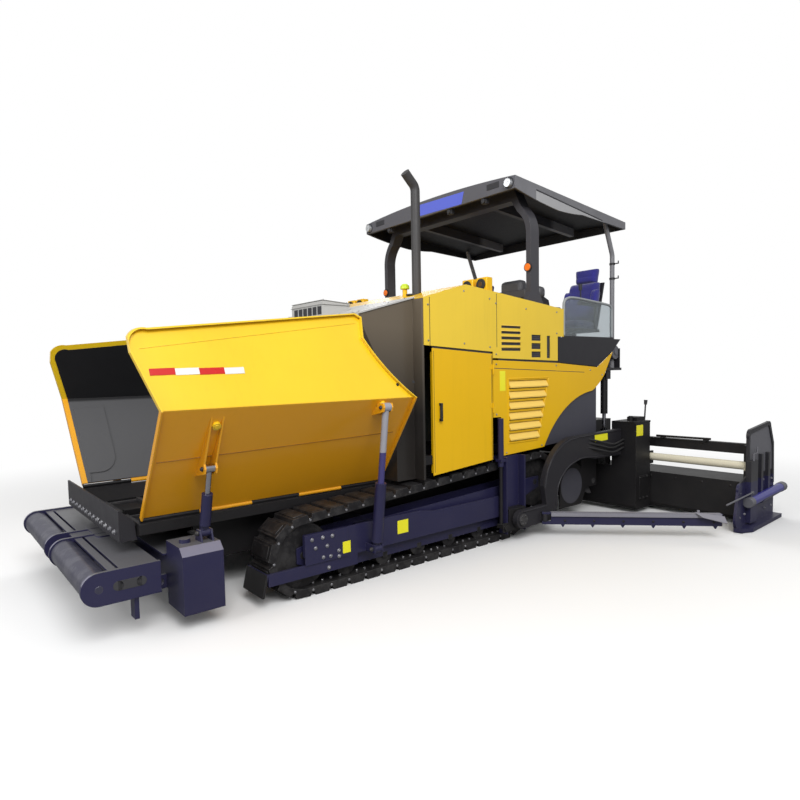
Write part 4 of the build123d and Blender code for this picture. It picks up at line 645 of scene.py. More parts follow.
# %% Give every solid its slot's finish
OWN_FINISH = {
    # solids whose finish differs from their slot's plain one; {} is a side
    # the hood sides carry painted light, paler towards the top
    "fenders": "fender_grey", "hood_sides": "hood_lit_brown", "upper_panels": "upper_yellow",
    # the rear canopy posts carry painted light, paler than the front ones
    "canopy_posts": "posts_lit_rear", "front_bumper": "worn_navy", "push_beam": "worn_navy",
    "track_frames": "guard_navy", "extension_{}": "extension_black", "end_gate_{}": "gate_navy",
    # the wings carry painted shade below their fold
    "wing_{}": "wing_two", "wing_liner_{}": "liner", "rear_ram_rod_{}": "ram_stage",
    "push_roller_{}": "worn_roller",
}
SIDES = (("left", 1), ("right", -1))


def dress_solids():
    slots = {part["node"]: part["material_slot"] for part in frame["record"]["subparts"]}
    own = {name.format(side): finish for name, finish in OWN_FINISH.items() for side, _ in SIDES}
    for node in nodes:
        materials = bpy.data.objects[node].data.materials
        materials.clear()
        materials.append(FINISHES[own.get(node, slots[node])])


dress_solids()
print("dressed:", len(nodes))

# %% [markdown]
# ## How an added piece is made
# Each added piece is one mesh, drawn straight in the machine's frame, so a number here is a place on the
# machine. Parts that repeat are drawn many times into the same mesh. `mounted` turns the drawing into an
# object with its finish, rounds its sharp edges a little, and sets it on the body that carries it.

# %% Drawing helpers
FORWARD, OUTWARD, UP = (1, 0, 0), (0, 1, 0), (0, 0, 1)
added, told = [], []


def block(draft, low, high):
    """A box between two corners."""
    low, high = Vector(low), Vector(high)
    place = Matrix.Translation((high + low) / 2) @ Matrix.Diagonal((*(high - low), 1))
    bmesh.ops.create_cube(draft, size=1, matrix=place)


def rod(draft, start, end, radius, sides=20, end_radius=None):
    """A round bar or cone from one point to another."""
    start, end = Vector(start), Vector(end)
    turn = (end - start).to_track_quat("Z", "Y").to_matrix().to_4x4()
    last = radius if end_radius is None else end_radius
    bmesh.ops.create_cone(
        draft, cap_ends=True, segments=sides, radius1=radius, radius2=last, depth=(end - start).length,
        matrix=Matrix.Translation((start + end) / 2) @ turn,
    )


def plate(draft, corners, thickness):
    """A flat plate on corner points, thickened along its own normal."""
    points = [Vector(corner) for corner in corners]
    normal = (points[1] - points[0]).cross(points[2] - points[0]).normalized() * thickness
    front = [draft.verts.new(point) for point in points]
    back = [draft.verts.new(point + normal) for point in points]
    draft.faces.new(reversed(front))
    draft.faces.new(back)
    for k in range(len(points)):
        after = (k + 1) % len(points)
        draft.faces.new((front[k], front[after], back[after], back[k]))


def bolt(draft, place, direction, across):
    """A bolt head: a washer, a six-sided head and its slightly domed top."""
    place, direction = Vector(place), Vector(direction).normalized()
    rod(draft, place, place + direction * across * 0.18, across * 0.95, 14)
    top = place + direction * across * 0.75
    rod(draft, place, top, across * 0.58, 6)
    rod(draft, top, place + direction * across * 0.85, across * 0.5, 6, across * 0.32)


def on_body(piece, finish, body):
    """Gives a piece its finish, and the body that carries it."""
    piece.data.materials.append(FINISHES[finish])
    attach(piece, body)
    added.append(piece.name)
    return piece


def mounted(name, draft, finish, body, edge=0.0, smooth=40):
    """The drawing as an object on its body; edge is the radius that its sharp edges get."""
    bmesh.ops.recalc_face_normals(draft, faces=draft.faces[:])
    mesh = bpy.data.meshes.new(name)
    draft.to_mesh(mesh)
    draft.free()
    piece = in_scene(name, mesh)
    if edge:
        rounding = piece.modifiers.new("rounding", "BEVEL")
        rounding.width, rounding.segments, rounding.limit_method = edge, 2, "ANGLE"
    mesh.polygons.foreach_set("use_smooth", [True] * len(mesh.polygons))
    mesh.set_sharp_from_angle(angle=math.radians(smooth))
    return on_body(piece, finish, body)


def hose(name, points, radius, finish, body):
    """A held hose or pipe: a smooth curve with a round section."""
    data = bpy.data.curves.new(name, "CURVE")
    data.dimensions = "3D"
    data.bevel_depth, data.bevel_resolution, data.resolution_u = radius, 3, 8
    data.use_fill_caps = True
    line = data.splines.new("NURBS")
    line.points.add(len(points) - 1)
    for knot, point in zip(line.points, points):
        knot.co = (*point, 1)
    line.order_u, line.use_endpoint_u = 3, True
    return on_body(in_scene(name, data), finish, body)


def drawing(rows):
    """A drawing of rows; a row is a shape's function and what it takes."""
    draft = bmesh.new()
    for shape, *numbers in rows:
        shape(draft, *numbers)
    return draft


def single(name, rows, finish, body="chassis", edge=0.0):
    mounted(name, drawing(rows), finish, body, edge)


def paired(name, rows, finish, body="chassis", edge=0.0):
    """The rows drawn on the left, and their mirror image on the right; {} in the body is the side."""
    for side, s in SIDES:
        draft = drawing(rows)
        bmesh.ops.transform(draft, matrix=Matrix.Diagonal((1, s, 1, 1)), verts=draft.verts)
        mounted(f"{name}_{side}", draft, finish, body.format(side), edge)


def paired_hose(name, points, radius, finish, body="chassis"):
    for side, s in SIDES:
        hose(f"{name}_{side}", [(x, s * y, z) for x, y, z in points], radius, finish, body.format(side))


def box(x0, x1, y0, y1, z0, z1):
    """A row for a block, from its ends along X, Y and Z."""
    return (block, (x0, y0, z0), (x1, y1, z1))


def along_x(x0, x1, y, z, *size):
    """A row for a rod along X; size is its radius, and its sides and end radius where they are given."""
    return (rod, (x0, y, z), (x1, y, z), *size)


def along_y(x, y0, y1, z, *size):
    return (rod, (x, y0, z), (x, y1, z), *size)


def along_z(x, y, z0, z1, *size):
    return (rod, (x, y, z0), (x, y, z1), *size)


def upright(y, corners, thickness):
    """A row for a plate that stands along the machine, on points (x, z)."""
    return (plate, [(x, y, z) for x, z in corners], thickness)


def side_bolts(places, y, across):
    """Rows for bolts on a face that looks to the side, at points (x, z)."""
    return [(bolt, (x, y, z), OUTWARD, across) for x, z in places]


def tell(title):
    """Prints the pieces made since the last time."""
    fresh = added[len(told):]
    told.extend(fresh)
    print(title, len(fresh), fresh)


print("shapes:", [shape.__name__ for shape in (block, rod, plate, bolt)])

# %% [markdown]
# ## Bolts
# Bolts tell the eye how large a machine is. They stand in rows along the apron, on the side panels,
# in a cluster where the track's tensioner is reached, and on the pale hood cover.

# %% Set the bolts
SIDE = 1.25
PANEL_BOLTS = (
    # x and z on the body's side
    (0.66, 2.34), (0.66, 2.02), (0.2, 2.49), (0.2, 2.0), (-0.16, 2.44), (-0.16, 1.97), (-0.25, 2.4),
    (-1.25, 2.36), (-1.25, 2.13), (-0.72, 2.37), (-0.25, 1.9), (-0.4, 0.9), (-0.98, 0.925),
    (-0.25, 1.3), (-0.25, 1.8), (-1.24, 1.78), (-1.9, 1.72), (-2.15, 1.66),
)
GUARD_BOLTS = (
    # x and z on the guard plate
    (1.927, 0.457), (1.829, 0.458), (1.738, 0.456), (1.897, 0.386), (1.789, 0.384),
    (1.827, 0.3), (1.758, 0.295), (1.678, 0.278), (1.681, 0.325),
)
HOOD_RISE = 0.165 / 0.62
COVER_BOLTS = (
    # x and the places along y on the hood cover's left half
    (0.76, (0.15, 0.45, 0.75, 1.05)), (0.95, (0.15, 0.45, 0.75, 1.05)), (1.305, (0.6, 0.8, 1.0, 1.09)),
)


def hood_height(x):
    """Height of the pale hood cover's top face."""
    return 2.254 + HOOD_RISE * (1.33 - x)


def bolt_rows():
    apron = [(bolt, (3.215, -0.72 + 0.12 * k, 0.655), FORWARD, 0.022) for k in range(13)]
    single("apron_bolts", apron, "roller_steel")
    paired("panel_bolts", side_bolts(PANEL_BOLTS, SIDE, 0.01), "roller_steel")
    guard = side_bolts(GUARD_BOLTS, 1.26, 0.017) + side_bolts([(1.771, 0.203)], SIDE, 0.017)
    paired("guard_bolts", guard, "roller_steel")
    slope = (HOOD_RISE, 0, 1)
    cover = [(bolt, (x, y, hood_height(x)), slope, 0.01) for x, row in COVER_BOLTS for y in row]
    paired("cover_bolts", cover, "roller_steel")


bolt_rows()
tell("bolts:")

# %% [markdown]
# ## Tracks
# Each shoe is bolted to the chain by four bolts and carries a raised pad. The construction has the loop
# and the shoes' blocks; here each shoe gets its bolts, a pad with rounded edges, and the pins of the
# chain that show between the shoes. The loop is walked by arc length, so every shoe sits square to the
# path.

# %% Lay pads, pins and bolts round both tracks
SHOE_HEIGHT, BELT = 0.03, 0.04
WHEELS = ((-0.45, 0.18, 0.15), (1.96, 0.325, 0.295), (-0.95, 0.52, 0.3))
SHOE_PITCH, TRACK_Y, TRACK_WIDTH = 0.17, 1.07, 0.3
PAD_GAP, PAD_MARGIN, PAD_THICK = 0.075, 0.05, 0.01
PAD_CLEARANCE = 0.034
BOLT_X, BOLT_Y, BOLT_DEEP = 0.045, 0.075, 0.013
PIN_REACH = 0.152


def track_path():
    """The loop's lines and arcs; a row ends with its length."""
    heads = []
    for (ax, az, ar), (bx, bz, br) in zip(WHEELS, WHEELS[1:] + WHEELS[:1]):
        turn = math.atan2(bz - az, bx - ax)
        heads.append(turn - math.acos((ar - br) / math.dist((ax, az), (bx, bz))))
    stretches = []
    for k, (x, z, r) in enumerate(WHEELS):
        before, after = heads[k - 1], heads[k]
        while after < before:
            after += math.tau
        stretches.append(("arc", x, z, r, before, after, r * (after - before)))
        nx, nz, nr = WHEELS[(k + 1) % 3]
        start = (x + r * math.cos(after), z + r * math.sin(after))
        end = (nx + nr * math.cos(after), nz + nr * math.sin(after))
        stretches.append(("line", *start, *end, after, math.dist(start, end)))
    return stretches


def along_track(stretches, distance):
    """Place and outward angle at a distance along the loop."""
    for stretch in stretches:
        if distance <= stretch[-1]:
            break
        distance -= stretch[-1]
    share = distance / stretch[-1]
    if stretch[0] == "arc":
        _, x, z, r, before, after, _ = stretch
        angle = before + (after - before) * share
        return x + r * math.cos(angle), z + r * math.sin(angle), angle
    _, x0, z0, x1, z1, angle, _ = stretch
    return x0 + (x1 - x0) * share, z0 + (z1 - z0) * share, angle


def lay_tracks():
    stretches = track_path()
    length = sum(stretch[-1] for stretch in stretches)
    count = round(length / SHOE_PITCH)
    pitch = length / count
    for side, s in SIDES:
        pads, fasteners = bmesh.new(), bmesh.new()
        for k in range(count):
            x, z, angle = along_track(stretches, (k + 0.5) * pitch)
            place = Matrix.Translation((x, s * TRACK_Y, z)) @ Matrix.Rotation(math.pi / 2 - angle, 4, "Y")
            if z + SHOE_HEIGHT * math.sin(angle) > PAD_CLEARANCE:
                rise = place @ Matrix.Translation((0, 0, SHOE_HEIGHT - 0.002))
                shape = rise @ Matrix.Diagonal((pitch - PAD_GAP, TRACK_WIDTH - PAD_MARGIN, PAD_THICK, 1))
                bmesh.ops.create_cube(pads, size=1, matrix=shape)
            for along, across in ((-1, -1), (-1, 1), (1, -1), (1, 1)):
                head = Vector((along * BOLT_X, across * BOLT_Y, -BELT - 0.001))
                tip = head - Vector((0, 0, BOLT_DEEP))
                rod(fasteners, place @ head, place @ tip, 0.011, 6)
            x, z, angle = along_track(stretches, k * pitch)
            pin = Vector((x, s * TRACK_Y, z)) - Vector((math.cos(angle), 0, math.sin(angle))) * BELT * 0.45
            reach = Vector((0, PIN_REACH, 0))
            rod(fasteners, pin - reach, pin + reach, 0.01, 10)
        mounted(f"track_pads_{side}", pads, "track_steel", "chassis", edge=0.004)
        mounted(f"track_bolts_{side}", fasteners, "roller_steel", "chassis")
    return count


print("shoes a side:", lay_tracks())
tell("on the tracks:")

# %% [markdown]
# ## Seats
# The operators' seats are foam pads under a tight cloth, on a hard plastic shell. A pad is crowned in
# the middle and its sides pull in between the corners. It is drawn as a grid whose points are pushed
# out by how far they lie from the edge, then smoothed by a subdivision surface; a seam channel is
# pressed in across it, as the sewn cloth has.

# %% Shape the cushions
SEAM_DEPTH, SEAM_WIDTH = 0.01, 0.06
SEAT_X, SEAT_Y = -2.08, 0.86
BACK_LEAN = 74.7
SEAT_PADS = (
    # width, depth, thickness, crown, seams, taper, place across, x from the seat's, z, lean
    (0.49, 0.475, 0.09, 0.02, (-0.45, 0.45), 0.0, 0, 0.028, 2.26, 0.0),
    (0.48, 0.52, 0.12, 0.024, (-0.4, 0.3), 0.14, 0, -0.262, 2.56, BACK_LEAN),
    (0.29, 0.185, 0.105, 0.018, (0.1,), -0.12, 0, -0.366, 2.886, 82.5),
    (0.1, 0.4, 0.09, 0.014, (), 0.0, -0.19, -0.215, 2.53, BACK_LEAN),
    (0.1, 0.4, 0.09, 0.014, (), 0.0, 0.19, -0.215, 2.53, BACK_LEAN),
)


def seam_depth(distance):
    """How deep a sewn channel is at a distance from its middle."""
    return SEAM_DEPTH * math.exp(-(distance / SEAM_WIDTH) ** 2)


def cushion(draft, width, depth, thick, crown, seams, taper, turn):
    """A closed pad: wide along Y, deep along X, its crown towards +Z, then turned and moved.

    A pad with seams gets a finer grid, since the channels have to show."""
    rows = 14 if seams else 8
    steps = [2 * i / rows - 1 for i in range(rows + 1)]
    grid = {}
    for side in (1, -1):
        for i, u in enumerate(steps):
            for j, v in enumerate(steps):
                rim = abs(u) == 1 or abs(v) == 1
                if rim and side == -1:
                    continue
                edge = (1 - abs(u) ** 5) * (1 - abs(v) ** 5)
                pull = 1 - 0.045 * abs(abs(u) - abs(v)) * edge
                half = width / 2 * (1 - taper * (1 - u) / 2)
                height = 0.0
                if not rim:
                    swell = thick / 2 * ((1 - abs(u) ** 14) * (1 - abs(v) ** 14)) ** 0.5
                    height = side * swell + crown * edge * (1 if side == 1 else -0.15)
                    if side == 1:
                        height -= sum(seam_depth(u - seam) for seam in seams)
                point = Vector((u * depth / 2 * pull, v * half * pull, height))
                grid[side, i, j] = draft.verts.new(turn @ point)
    for side in (1, -1):
        for i in range(rows):
            for j in range(rows):
                corners = ((i, j), (i + 1, j), (i + 1, j + 1), (i, j + 1))
                ring = [grid.get((side, a, b)) or grid[1, a, b] for a, b in corners]
                draft.faces.new(ring if side == 1 else reversed(ring))


def build_seats():
    for side, s in SIDES:
        pads = bmesh.new()
        for *shape, across, x, z, lean in SEAT_PADS:
            place = Matrix.Translation((SEAT_X + x, s * SEAT_Y + across, z))
            cushion(pads, *shape, place @ Matrix.Rotation(math.radians(lean), 4, "Y"))
        piece = mounted(f"seat_cushions_{side}", pads, "seat_fabric", "chassis", smooth=80)
        surface = piece.modifiers.new("smooth", "SUBSURF")
        surface.levels = surface.render_levels = 1
        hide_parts("seat_cushions")


build_seats()
tell("cushions:")

# %% [markdown]
# ## Hopper wings
# The marks on a wing follow its bent sheet, so `on_wing` gives the outer face at a height, in the
# wing's own two planes. The right side is the mirror image of the left. Everything but the pins at the
# rams' feet rides on the wings, so it swings with them when they lift.

# %% Mark the wings and pin their rams
WING_LINE = ((0.87, 0.74), (1.48, 1.535), (1.15, 2.235))
MARK_OUT = 0.0012
MARK_ENDS = (3.127, 2.966, 2.808, 2.635, 2.492)
LIFT_POINTS = ((2.72, 1.42), (1.36, 1.495))
RAM_EYES = ((2.72, 1.248, 1.112), (1.36, 1.5, 1.468))
RAM_FEET = ((2.72, 1.115, 0.64), (1.36, 1.34, 0.295))


def on_wing(x, z, out=0.0):
    """A point of the left wing's outer face, or out from it."""
    (y0, z0), (y1, z1) = WING_LINE[:2] if z < WING_LINE[1][1] else WING_LINE[1:]
    share = (z - z0) / (z1 - z0)
    square = Vector((0, z1 - z0, y0 - y1)).normalized()
    return Vector((x, y0 + (y1 - y0) * share, z)) + square * out


def wing_band(x0, x1, z0, z1, high):
    """A thin plate on the wing from x0 to x1, its lower edge at z0 and z1."""
    corners = ((x0, z0), (x1, z1), (x1, z1 + high), (x0, z0 + high))
    return (plate, [on_wing(x, z, MARK_OUT) for x, z in corners], 0.001)


def wing_bead(x0, z0, x1, z1, radius):
    """A thin raised line along the wing."""
    return (rod, on_wing(x0, z0, 0.001), on_wing(x1, z1, 0.001), radius, 8)


def pins(places, reach, radius, across):
    """A pin through each ram's eye, with a bolt at its front end."""
    rods = [along_x(x - reach, x + reach, y, z, radius) for x, y, z in places]
    return rods + [(bolt, (x + reach - 0.006, y, z), FORWARD, across) for x, y, z in places]


def mark_wings():
    cells = [wing_band(x0, x1, 1.754, 1.758, 0.044) for x0, x1 in zip(MARK_ENDS, MARK_ENDS[1:])]
    paired("wing_marks_red", cells[0::2], "marker_red", "wing_{}")
    paired("wing_marks_white", cells[1::2], "marker_white", "wing_{}")
    paired("wing_welds", [wing_bead(3.06, 1.184, 1.09, 1.234, 0.0035)], "weld_ochre", "wing_{}", edge=0.002)
    seams = [wing_bead(3.16, 1.925, 1.42, 2.15, 0.0025)]
    for x, z in LIFT_POINTS:
        seams.append((rod, on_wing(x, z, -0.002), on_wing(x, z, 0.022), 0.03))
        seams.append((rod, on_wing(x, z, 0.022), on_wing(x, z, 0.028), 0.018))
    paired("wing_seams", seams, "wing_yellow", "wing_{}", edge=0.002)
    spots = [wing_band(1.19, 1.165, 1.63, 1.632, 0.022), wing_band(1.01, 0.985, 1.647, 1.65, 0.022)]
    paired("wing_fasteners", spots, "black_rubber", "wing_{}")
    paired("wing_ram_pins", pins(RAM_EYES, 0.056, 0.015, 0.018), "wear_steel", "wing_{}")
    paired("ram_foot_pins", pins(RAM_FEET, 0.058, 0.018, 0.02), "wear_steel")


mark_wings()
tell("on the wings:")

# %% [markdown]
# ## Hood
# The pale cover over the hood's slope has a low intake box with slots. Behind the hood's peak stand
# work lamps in yellow boxes, and the fuel filler has a lime cap on a short neck.

# %% Fit the intake lid, the work lamps and the filler
FILLER = (0.36, 0.588)
EXHAUST = (0.36, 0.7)


def hood_plane(x):
    """Height of the yellow hood behind its front slope."""
    if x > 0.17:
        return 2.405 + 0.149 * (0.71 - x) / 0.54
    return 2.554 - 0.154 * (0.17 - x) / 1.55


def dress_intake():
    corners = ((1.298, -0.048, 2.419), (1.298, 0.518, 2.419), (0.985, 0.518, 2.398), (0.985, -0.048, 2.398))
    lid = [(plate, corners, 0.006), box(0.98, 1.308, -0.052, 0.522, 2.38, 2.386)]
    single("intake_lid", lid, "cover_grey", edge=0.004)
    starts = [0.01 + 0.085 * k for k in range(6)]
    slots = [box(1.298, 1.3025, y, y + 0.065, 2.29, 2.365) for y in starts]
    single("intake_slots", slots, "roof_dark")
    places = [(x, y) for x in (1.27, 1.01) for y in (-0.02, 0.24, 0.49)]
    knobs = [(bolt, (x, y, 2.424 - (1.298 - x) * 0.067), UP, 0.011) for x, y in places]
    single("intake_bolts", knobs, "roller_steel")


def dress_hood():
    boxes, faces, lenses = [], [], []
    low = hood_plane(-0.22)
    z = low + 0.08
    for y in (0.93, 1.12):
        boxes.append(box(-0.275, -0.185, y - 0.072, y + 0.072, low, low + 0.15))
        faces.append(along_x(-0.187, -0.17, y, z, 0.056, 28))
        lenses.append(along_x(-0.172, -0.167, y, z, 0.026, 28))
    paired("work_lamp_boxes", boxes, "body_yellow", edge=0.01)
    paired("work_lamp_faces", faces, "black_rubber", edge=0.003)
    paired("work_lamp_lenses", lenses, "lens_smoke", edge=0.002)
    neck = hood_plane(FILLER[0])
    single("filler_neck", [along_z(*FILLER, neck - 0.01, neck + 0.075, 0.024)], "body_yellow")
    cap = [along_z(*FILLER, neck + 0.07, neck + 0.1, 0.046, 28)]
    cap.append(along_z(*FILLER, neck + 0.1, neck + 0.122, 0.046, 28, 0.026))
    single("filler_cap", cap, "cap_lime", edge=0.004)
    foot = hood_plane(EXHAUST[0]) - 0.004
    single("exhaust_collar", [along_z(*EXHAUST, foot, foot + 0.012, 0.062, 28)], "exhaust_steel")
    joints = [(x, hood_plane(x) - 0.015) for x in (-0.262, 0.64)]
    seams = [box(x - 0.003, x + 0.003, SIDE - 0.0002, SIDE + 0.0012, 1.97, top) for x, top in joints]
    paired("panel_seams", seams, "roof_dark")


dress_intake()
dress_hood()
tell("hood pieces:")

# %% [markdown]
# ## Side panels
# Louvres are pressed in the side panels: their pale blades look outward and down. A dark sheet stands
# behind every opening as painted shade of the engine bay, with grey grille wires before the upper one.
# The doors have a black grip, and blank plates stand where a maker would put signs.

# %% Fit grilles, louvres, grips and blank plates
LOUVRE_FRONT = -0.445
LOUVRE_CORNERS = ((-0.43, 0.992), (-0.43, 1.652), (-1.104, 1.652), (-0.916, 0.992))
# a thin dark strip under the lower panel's top lip: painted shadow of its fold
FOLD_SHADOW_LINE = ((-0.215, 1.766), (-1.78, 1.7), (-1.78, 1.694), (-0.215, 1.759))
SIGNS = ((-0.387, -0.301, 1.532, 1.734), (0.935, 1.058, 0.335, 0.452))
DOOR_GAPS = ((-0.183, -0.178, 0.83, 1.89), (0.596, 0.6, 0.82, 1.93))
LINTEL = ((0.612, 1.93), (-0.19, 1.875), (-0.19, 1.975), (0.612, 2.03))


def louvre(k):
    """One blade, which leans out as it falls, and the lip along its foot."""
    low, rear = 1.01 + 0.108 * k, -0.923 - 0.031 * k
    top = [(x, 1.23, low + 0.0835) for x in (rear, LOUVRE_FRONT)]
    foot = [(x, 1.2675, low + 0.018) for x in (LOUVRE_FRONT, rear)]
    lip = box(rear, LOUVRE_FRONT, 1.256, 1.2676, low + 0.0075, low + 0.0185)
    return [(plate, top + foot, 0.0012), lip]


def dress_sides():
    # dark sheets behind the openings: painted shade of the engine bay
    backs = [box(-1.34, -0.29, 1.2345, 1.2405, 1.79, 2.245), box(-1.12, -0.42, 1.2, 1.206, 0.99, 1.665)]
    paired("grille_shade_backs", backs, "roof_dark")
    heights = [1.8 + 0.022 * k for k in range(20)]
    paired("grille_wires", [box(-1.33, -0.3, 1.2405, 1.2412, z, z + 0.006) for z in heights], "console_grey")
    paired("louvre_blades", [row for k in range(6) for row in louvre(k)], "pale_yellow")
    sides = zip(LOUVRE_CORNERS, LOUVRE_CORNERS[1:] + LOUVRE_CORNERS[:1])
    rim = [(rod, (x0, SIDE, z0), (x1, SIDE, z1), 0.007, 10) for (x0, z0), (x1, z1) in sides]
    paired("louvre_frame", rim, "body_yellow")
    # painted shadow under the fold of the panel's top lip
    paired("panel_fold_shadow", [upright(SIDE + 0.0002, FOLD_SHADOW_LINE, 0.001)], "post_grey")
    edges = [2.19 - 0.0545 * k for k in range(5)]
    rims = [box(-0.632, -0.33, SIDE - 0.0005, SIDE + 0.0035, z - 0.004, z + 0.003) for z in edges]
    paired("slot_edges", rims, "pale_yellow", edge=0.001)


def dress_doors():
    grip = [box(0.519, 0.541, 1.262, 1.2825, 1.288, 1.452)]
    grip += [box(0.519, 0.541, SIDE, 1.282, z, z + 0.024) for z in (1.286, 1.43)]
    paired("door_grips", grip, "black_rubber", "door_{}", edge=0.003)
    gaps = [box(x0, x1, SIDE, SIDE + 0.0008, z0, z1) for x0, x1, z0, z1 in DOOR_GAPS]
    paired("door_seams", gaps, "roof_dark", "door_{}")
    paired("door_lintels", [upright(1.239, LINTEL, 0.0015)], "roof_dark")


def set_signs():
    signs = [box(x0, x1, SIDE, SIDE + 0.0015, z0, z1) for x0, x1, z0, z1 in SIGNS]
    paired("side_signs", signs, "sign_yellow", edge=0.0005)
    paired("guard_sign", [box(1.565, 1.641, 1.259, 1.2613, 0.29, 0.385)], "sign_yellow")


dress_sides()
dress_doors()
set_signs()
tell("side pieces:")

# %% [markdown]
# ## Canopy and operator's stand
# Under the roof's front edge hang small brackets; its fascia has a blue field and round lamp seats. The
# clear shields stand in a bent grey rim, and amber lamps sit on the front posts.

# %% Fit the canopy's trim and the shields' rims
FASCIA = -0.559
ROOF_FIELD = ((-0.184, 3.592), (-0.184, 3.722), (0.538, 3.706), (0.5, 3.578))
ROOF_LINE = ((-0.9, 3.618), (-2.15, 3.476), (-2.15, 3.462), (-0.9, 3.602))
SHIELD_RIM = (
    (-1.405, 2.12), (-1.405, 2.4), (-1.405, 2.49), (-1.48, 2.534), (-1.64, 2.542),
    (-1.96, 2.521), (-2.3, 2.501), (-2.38, 2.48), (-2.386, 2.39), (-2.386, 2.12),
)
POST_LAMP_Y, POST_LAMP_Z = 1.195, 2.815


def dress_canopy():
    field = (plate, [(FASCIA, y, z) for y, z in ROOF_FIELD], 0.0015)
    single("roof_field", [field], "roof_blue")
    dark = [box(-0.561, -0.5575, y, y + 0.17, 3.63, 3.692) for y in (0.87, -1.04)]
    for y in (-0.8, -0.28, 0.28, 0.8):
        dark.append(box(-0.64, -0.59, y - 0.035, y + 0.035, 3.52, 3.6))
        dark.append(along_x(-0.59, -0.572, y, 3.548, 0.024))
    single("roof_brackets", dark, "roof_dark", edge=0.003)
    seats = [along_x(-0.5615, -0.556, y, 3.635, 0.058, 32) for y in (-1.175, 1.175)]
    single("lamp_seats", seats, "roof_dark")
    paired("roof_lines", [upright(SIDE + 0.0005, ROOF_LINE, 0.0012)], "roof_dark")
    hooks = []
    for z in (2.84, 3.02):
        hooks.append(along_y(-2.55, 1.16, 1.222, z, 0.007))
        hooks.append(along_z(-2.55, 1.222, z - 0.006, z + 0.03, 0.007))
        hooks.append(along_z(-2.55, 1.14, z - 0.012, z + 0.012, 0.034))
    paired("post_hooks", hooks, "black_rubber")
    amber = [along_x(-0.835, -0.812, y, POST_LAMP_Z, 0.038, 24) for y in (-POST_LAMP_Y, POST_LAMP_Y)]
    single("post_lamps", amber, "amber", edge=0.003)
    collars = [along_x(-0.838, -0.82, y, POST_LAMP_Z, 0.048, 24) for y in (-POST_LAMP_Y, POST_LAMP_Y)]
    single("post_lamp_seats", collars, "black_rubber")
    paired_hose("shield_rims", [(x, 1.233, z) for x, z in SHIELD_RIM], 0.015, "rim_pale")
    drums = [along_y(-2.53, 1.15, 1.205, 1.93, 0.085, 28), along_y(-2.53, 1.205, 1.215, 1.93, 0.035, 20)]
    paired("stand_drums", drums, "shield_grey", edge=0.006)


dress_canopy()
tell("roof pieces:")

# %% [markdown]
# **Controls.** Each seat has armrests with a control stick, and the console has dark covers and cowls,
# screens, push buttons and levers, all towards the operator.

# %% Fit armrests, sticks and the console's controls
CONSOLE_Y = (-0.46, 0.46)


def dress_seats():
    arms = []
    for y in (0.575, 1.145):
        arms.append(box(-2.25, -1.83, y - 0.03, y + 0.03, 2.48, 2.525))
        arms.append(box(-2.2, -2.15, y - 0.012, y + 0.012, 2.23, 2.485))
    paired("armrests", arms, "black_rubber", edge=0.01)
    sticks = [
        (rod, (-1.87, 1.145, 2.52), (-1.862, 1.145, 2.66), 0.008),
        (rod, (-1.862, 1.145, 2.65), (-1.858, 1.145, 2.72), 0.018, 16, 0.023),
        (rod, (-1.87, 1.145, 2.52), (-1.868, 1.145, 2.55), 0.032, 20, 0.012),
    ]
    paired("control_sticks", sticks, "roof_dark", edge=0.002)


def dress_console():
    covers, buttons, levers = [], [], []
    for middle in CONSOLE_Y:
        covers.append(box(-1.54, -1.415, middle - 0.23, middle + 0.23, 2.59, 2.69))
        covers.append(box(-1.425, -1.402, middle - 0.2, middle + 0.2, 2.3, 2.52))
        covers.append(box(-1.6, -1.57, middle - 0.1, middle + 0.1, 2.6, 2.735))
        for x in (-1.62, -1.655):
            for k in range(9):
                place = Vector((x, middle - 0.2 + 0.05 * k, 2.64 + (x + 1.5) * 0.4))
                buttons.append((rod, place, place + Vector((-0.0045, 0, 0.011)), 0.01, 12))
        for y in (middle + 0.11, middle + 0.17, middle + 0.23):
            levers.append((rod, (-1.655, y, 2.575), (-1.668, y, 2.655), 0.005))
            levers.append((rod, (-1.668, y, 2.65), (-1.671, y, 2.68), 0.011, 12, 0.013))
    single("console_covers", covers, "console_grey", edge=0.012)
    cowls = [box(-1.56, -1.425, 0.3, 0.62, 2.56, 2.815), box(-1.545, -1.42, 0.6, 0.9, 2.56, 2.705)]
    paired("console_cowls", cowls, "console_grey", edge=0.045)
    single("console_buttons", buttons[0::3], "marker_red")
    single("console_buttons_pale", buttons[1::3], "marker_white")
    single("console_buttons_amber", buttons[2::3], "amber")
    single("console_levers", levers, "roof_dark", edge=0.001)
    glass = [box(-1.6025, -1.5995, y - 0.085, y + 0.085, 2.628, 2.722) for y in CONSOLE_Y]
    single("console_screens", glass, "lamp_glass")


dress_seats()
dress_console()
tell("stand pieces:")

# %% [markdown]
# ## Tow arms and screed
# The arms are plates with a raised rim. Their pins have bolted caps. On the screed, cover plates close
# the hand holes at both ends, hoses run from the arms into the end boxes, and each extension carries a
# thin rail above its beam.

# %% Dress the arms, the screed and the extensions
ARM_FACE = 1.412
ARM_RIMS = {
    # x and z along each edge of the arm
    "top": (
        (-0.818, 0.5), (-0.85, 0.65), (-0.915, 0.765), (-1.01, 0.858), (-1.15, 0.938), (-1.33, 0.98),
        (-1.8, 0.99), (-2.285, 0.998),
    ),
    "under": (
        (-1.018, 0.29), (-1.025, 0.445), (-1.07, 0.545), (-1.122, 0.6), (-1.22, 0.675), (-1.33, 0.714),
        (-1.5, 0.752), (-1.75, 0.726), (-2.285, 0.715),
    ),
    "low": ((-0.46, 0.308), (-0.842, 0.31)),
}
ARM_SIGN = ((-1.738, 0.982), (-2.005, 0.984), (-2.01, 0.905), (-1.745, 0.9))
TOW_PIN = (-0.45, 0.23)


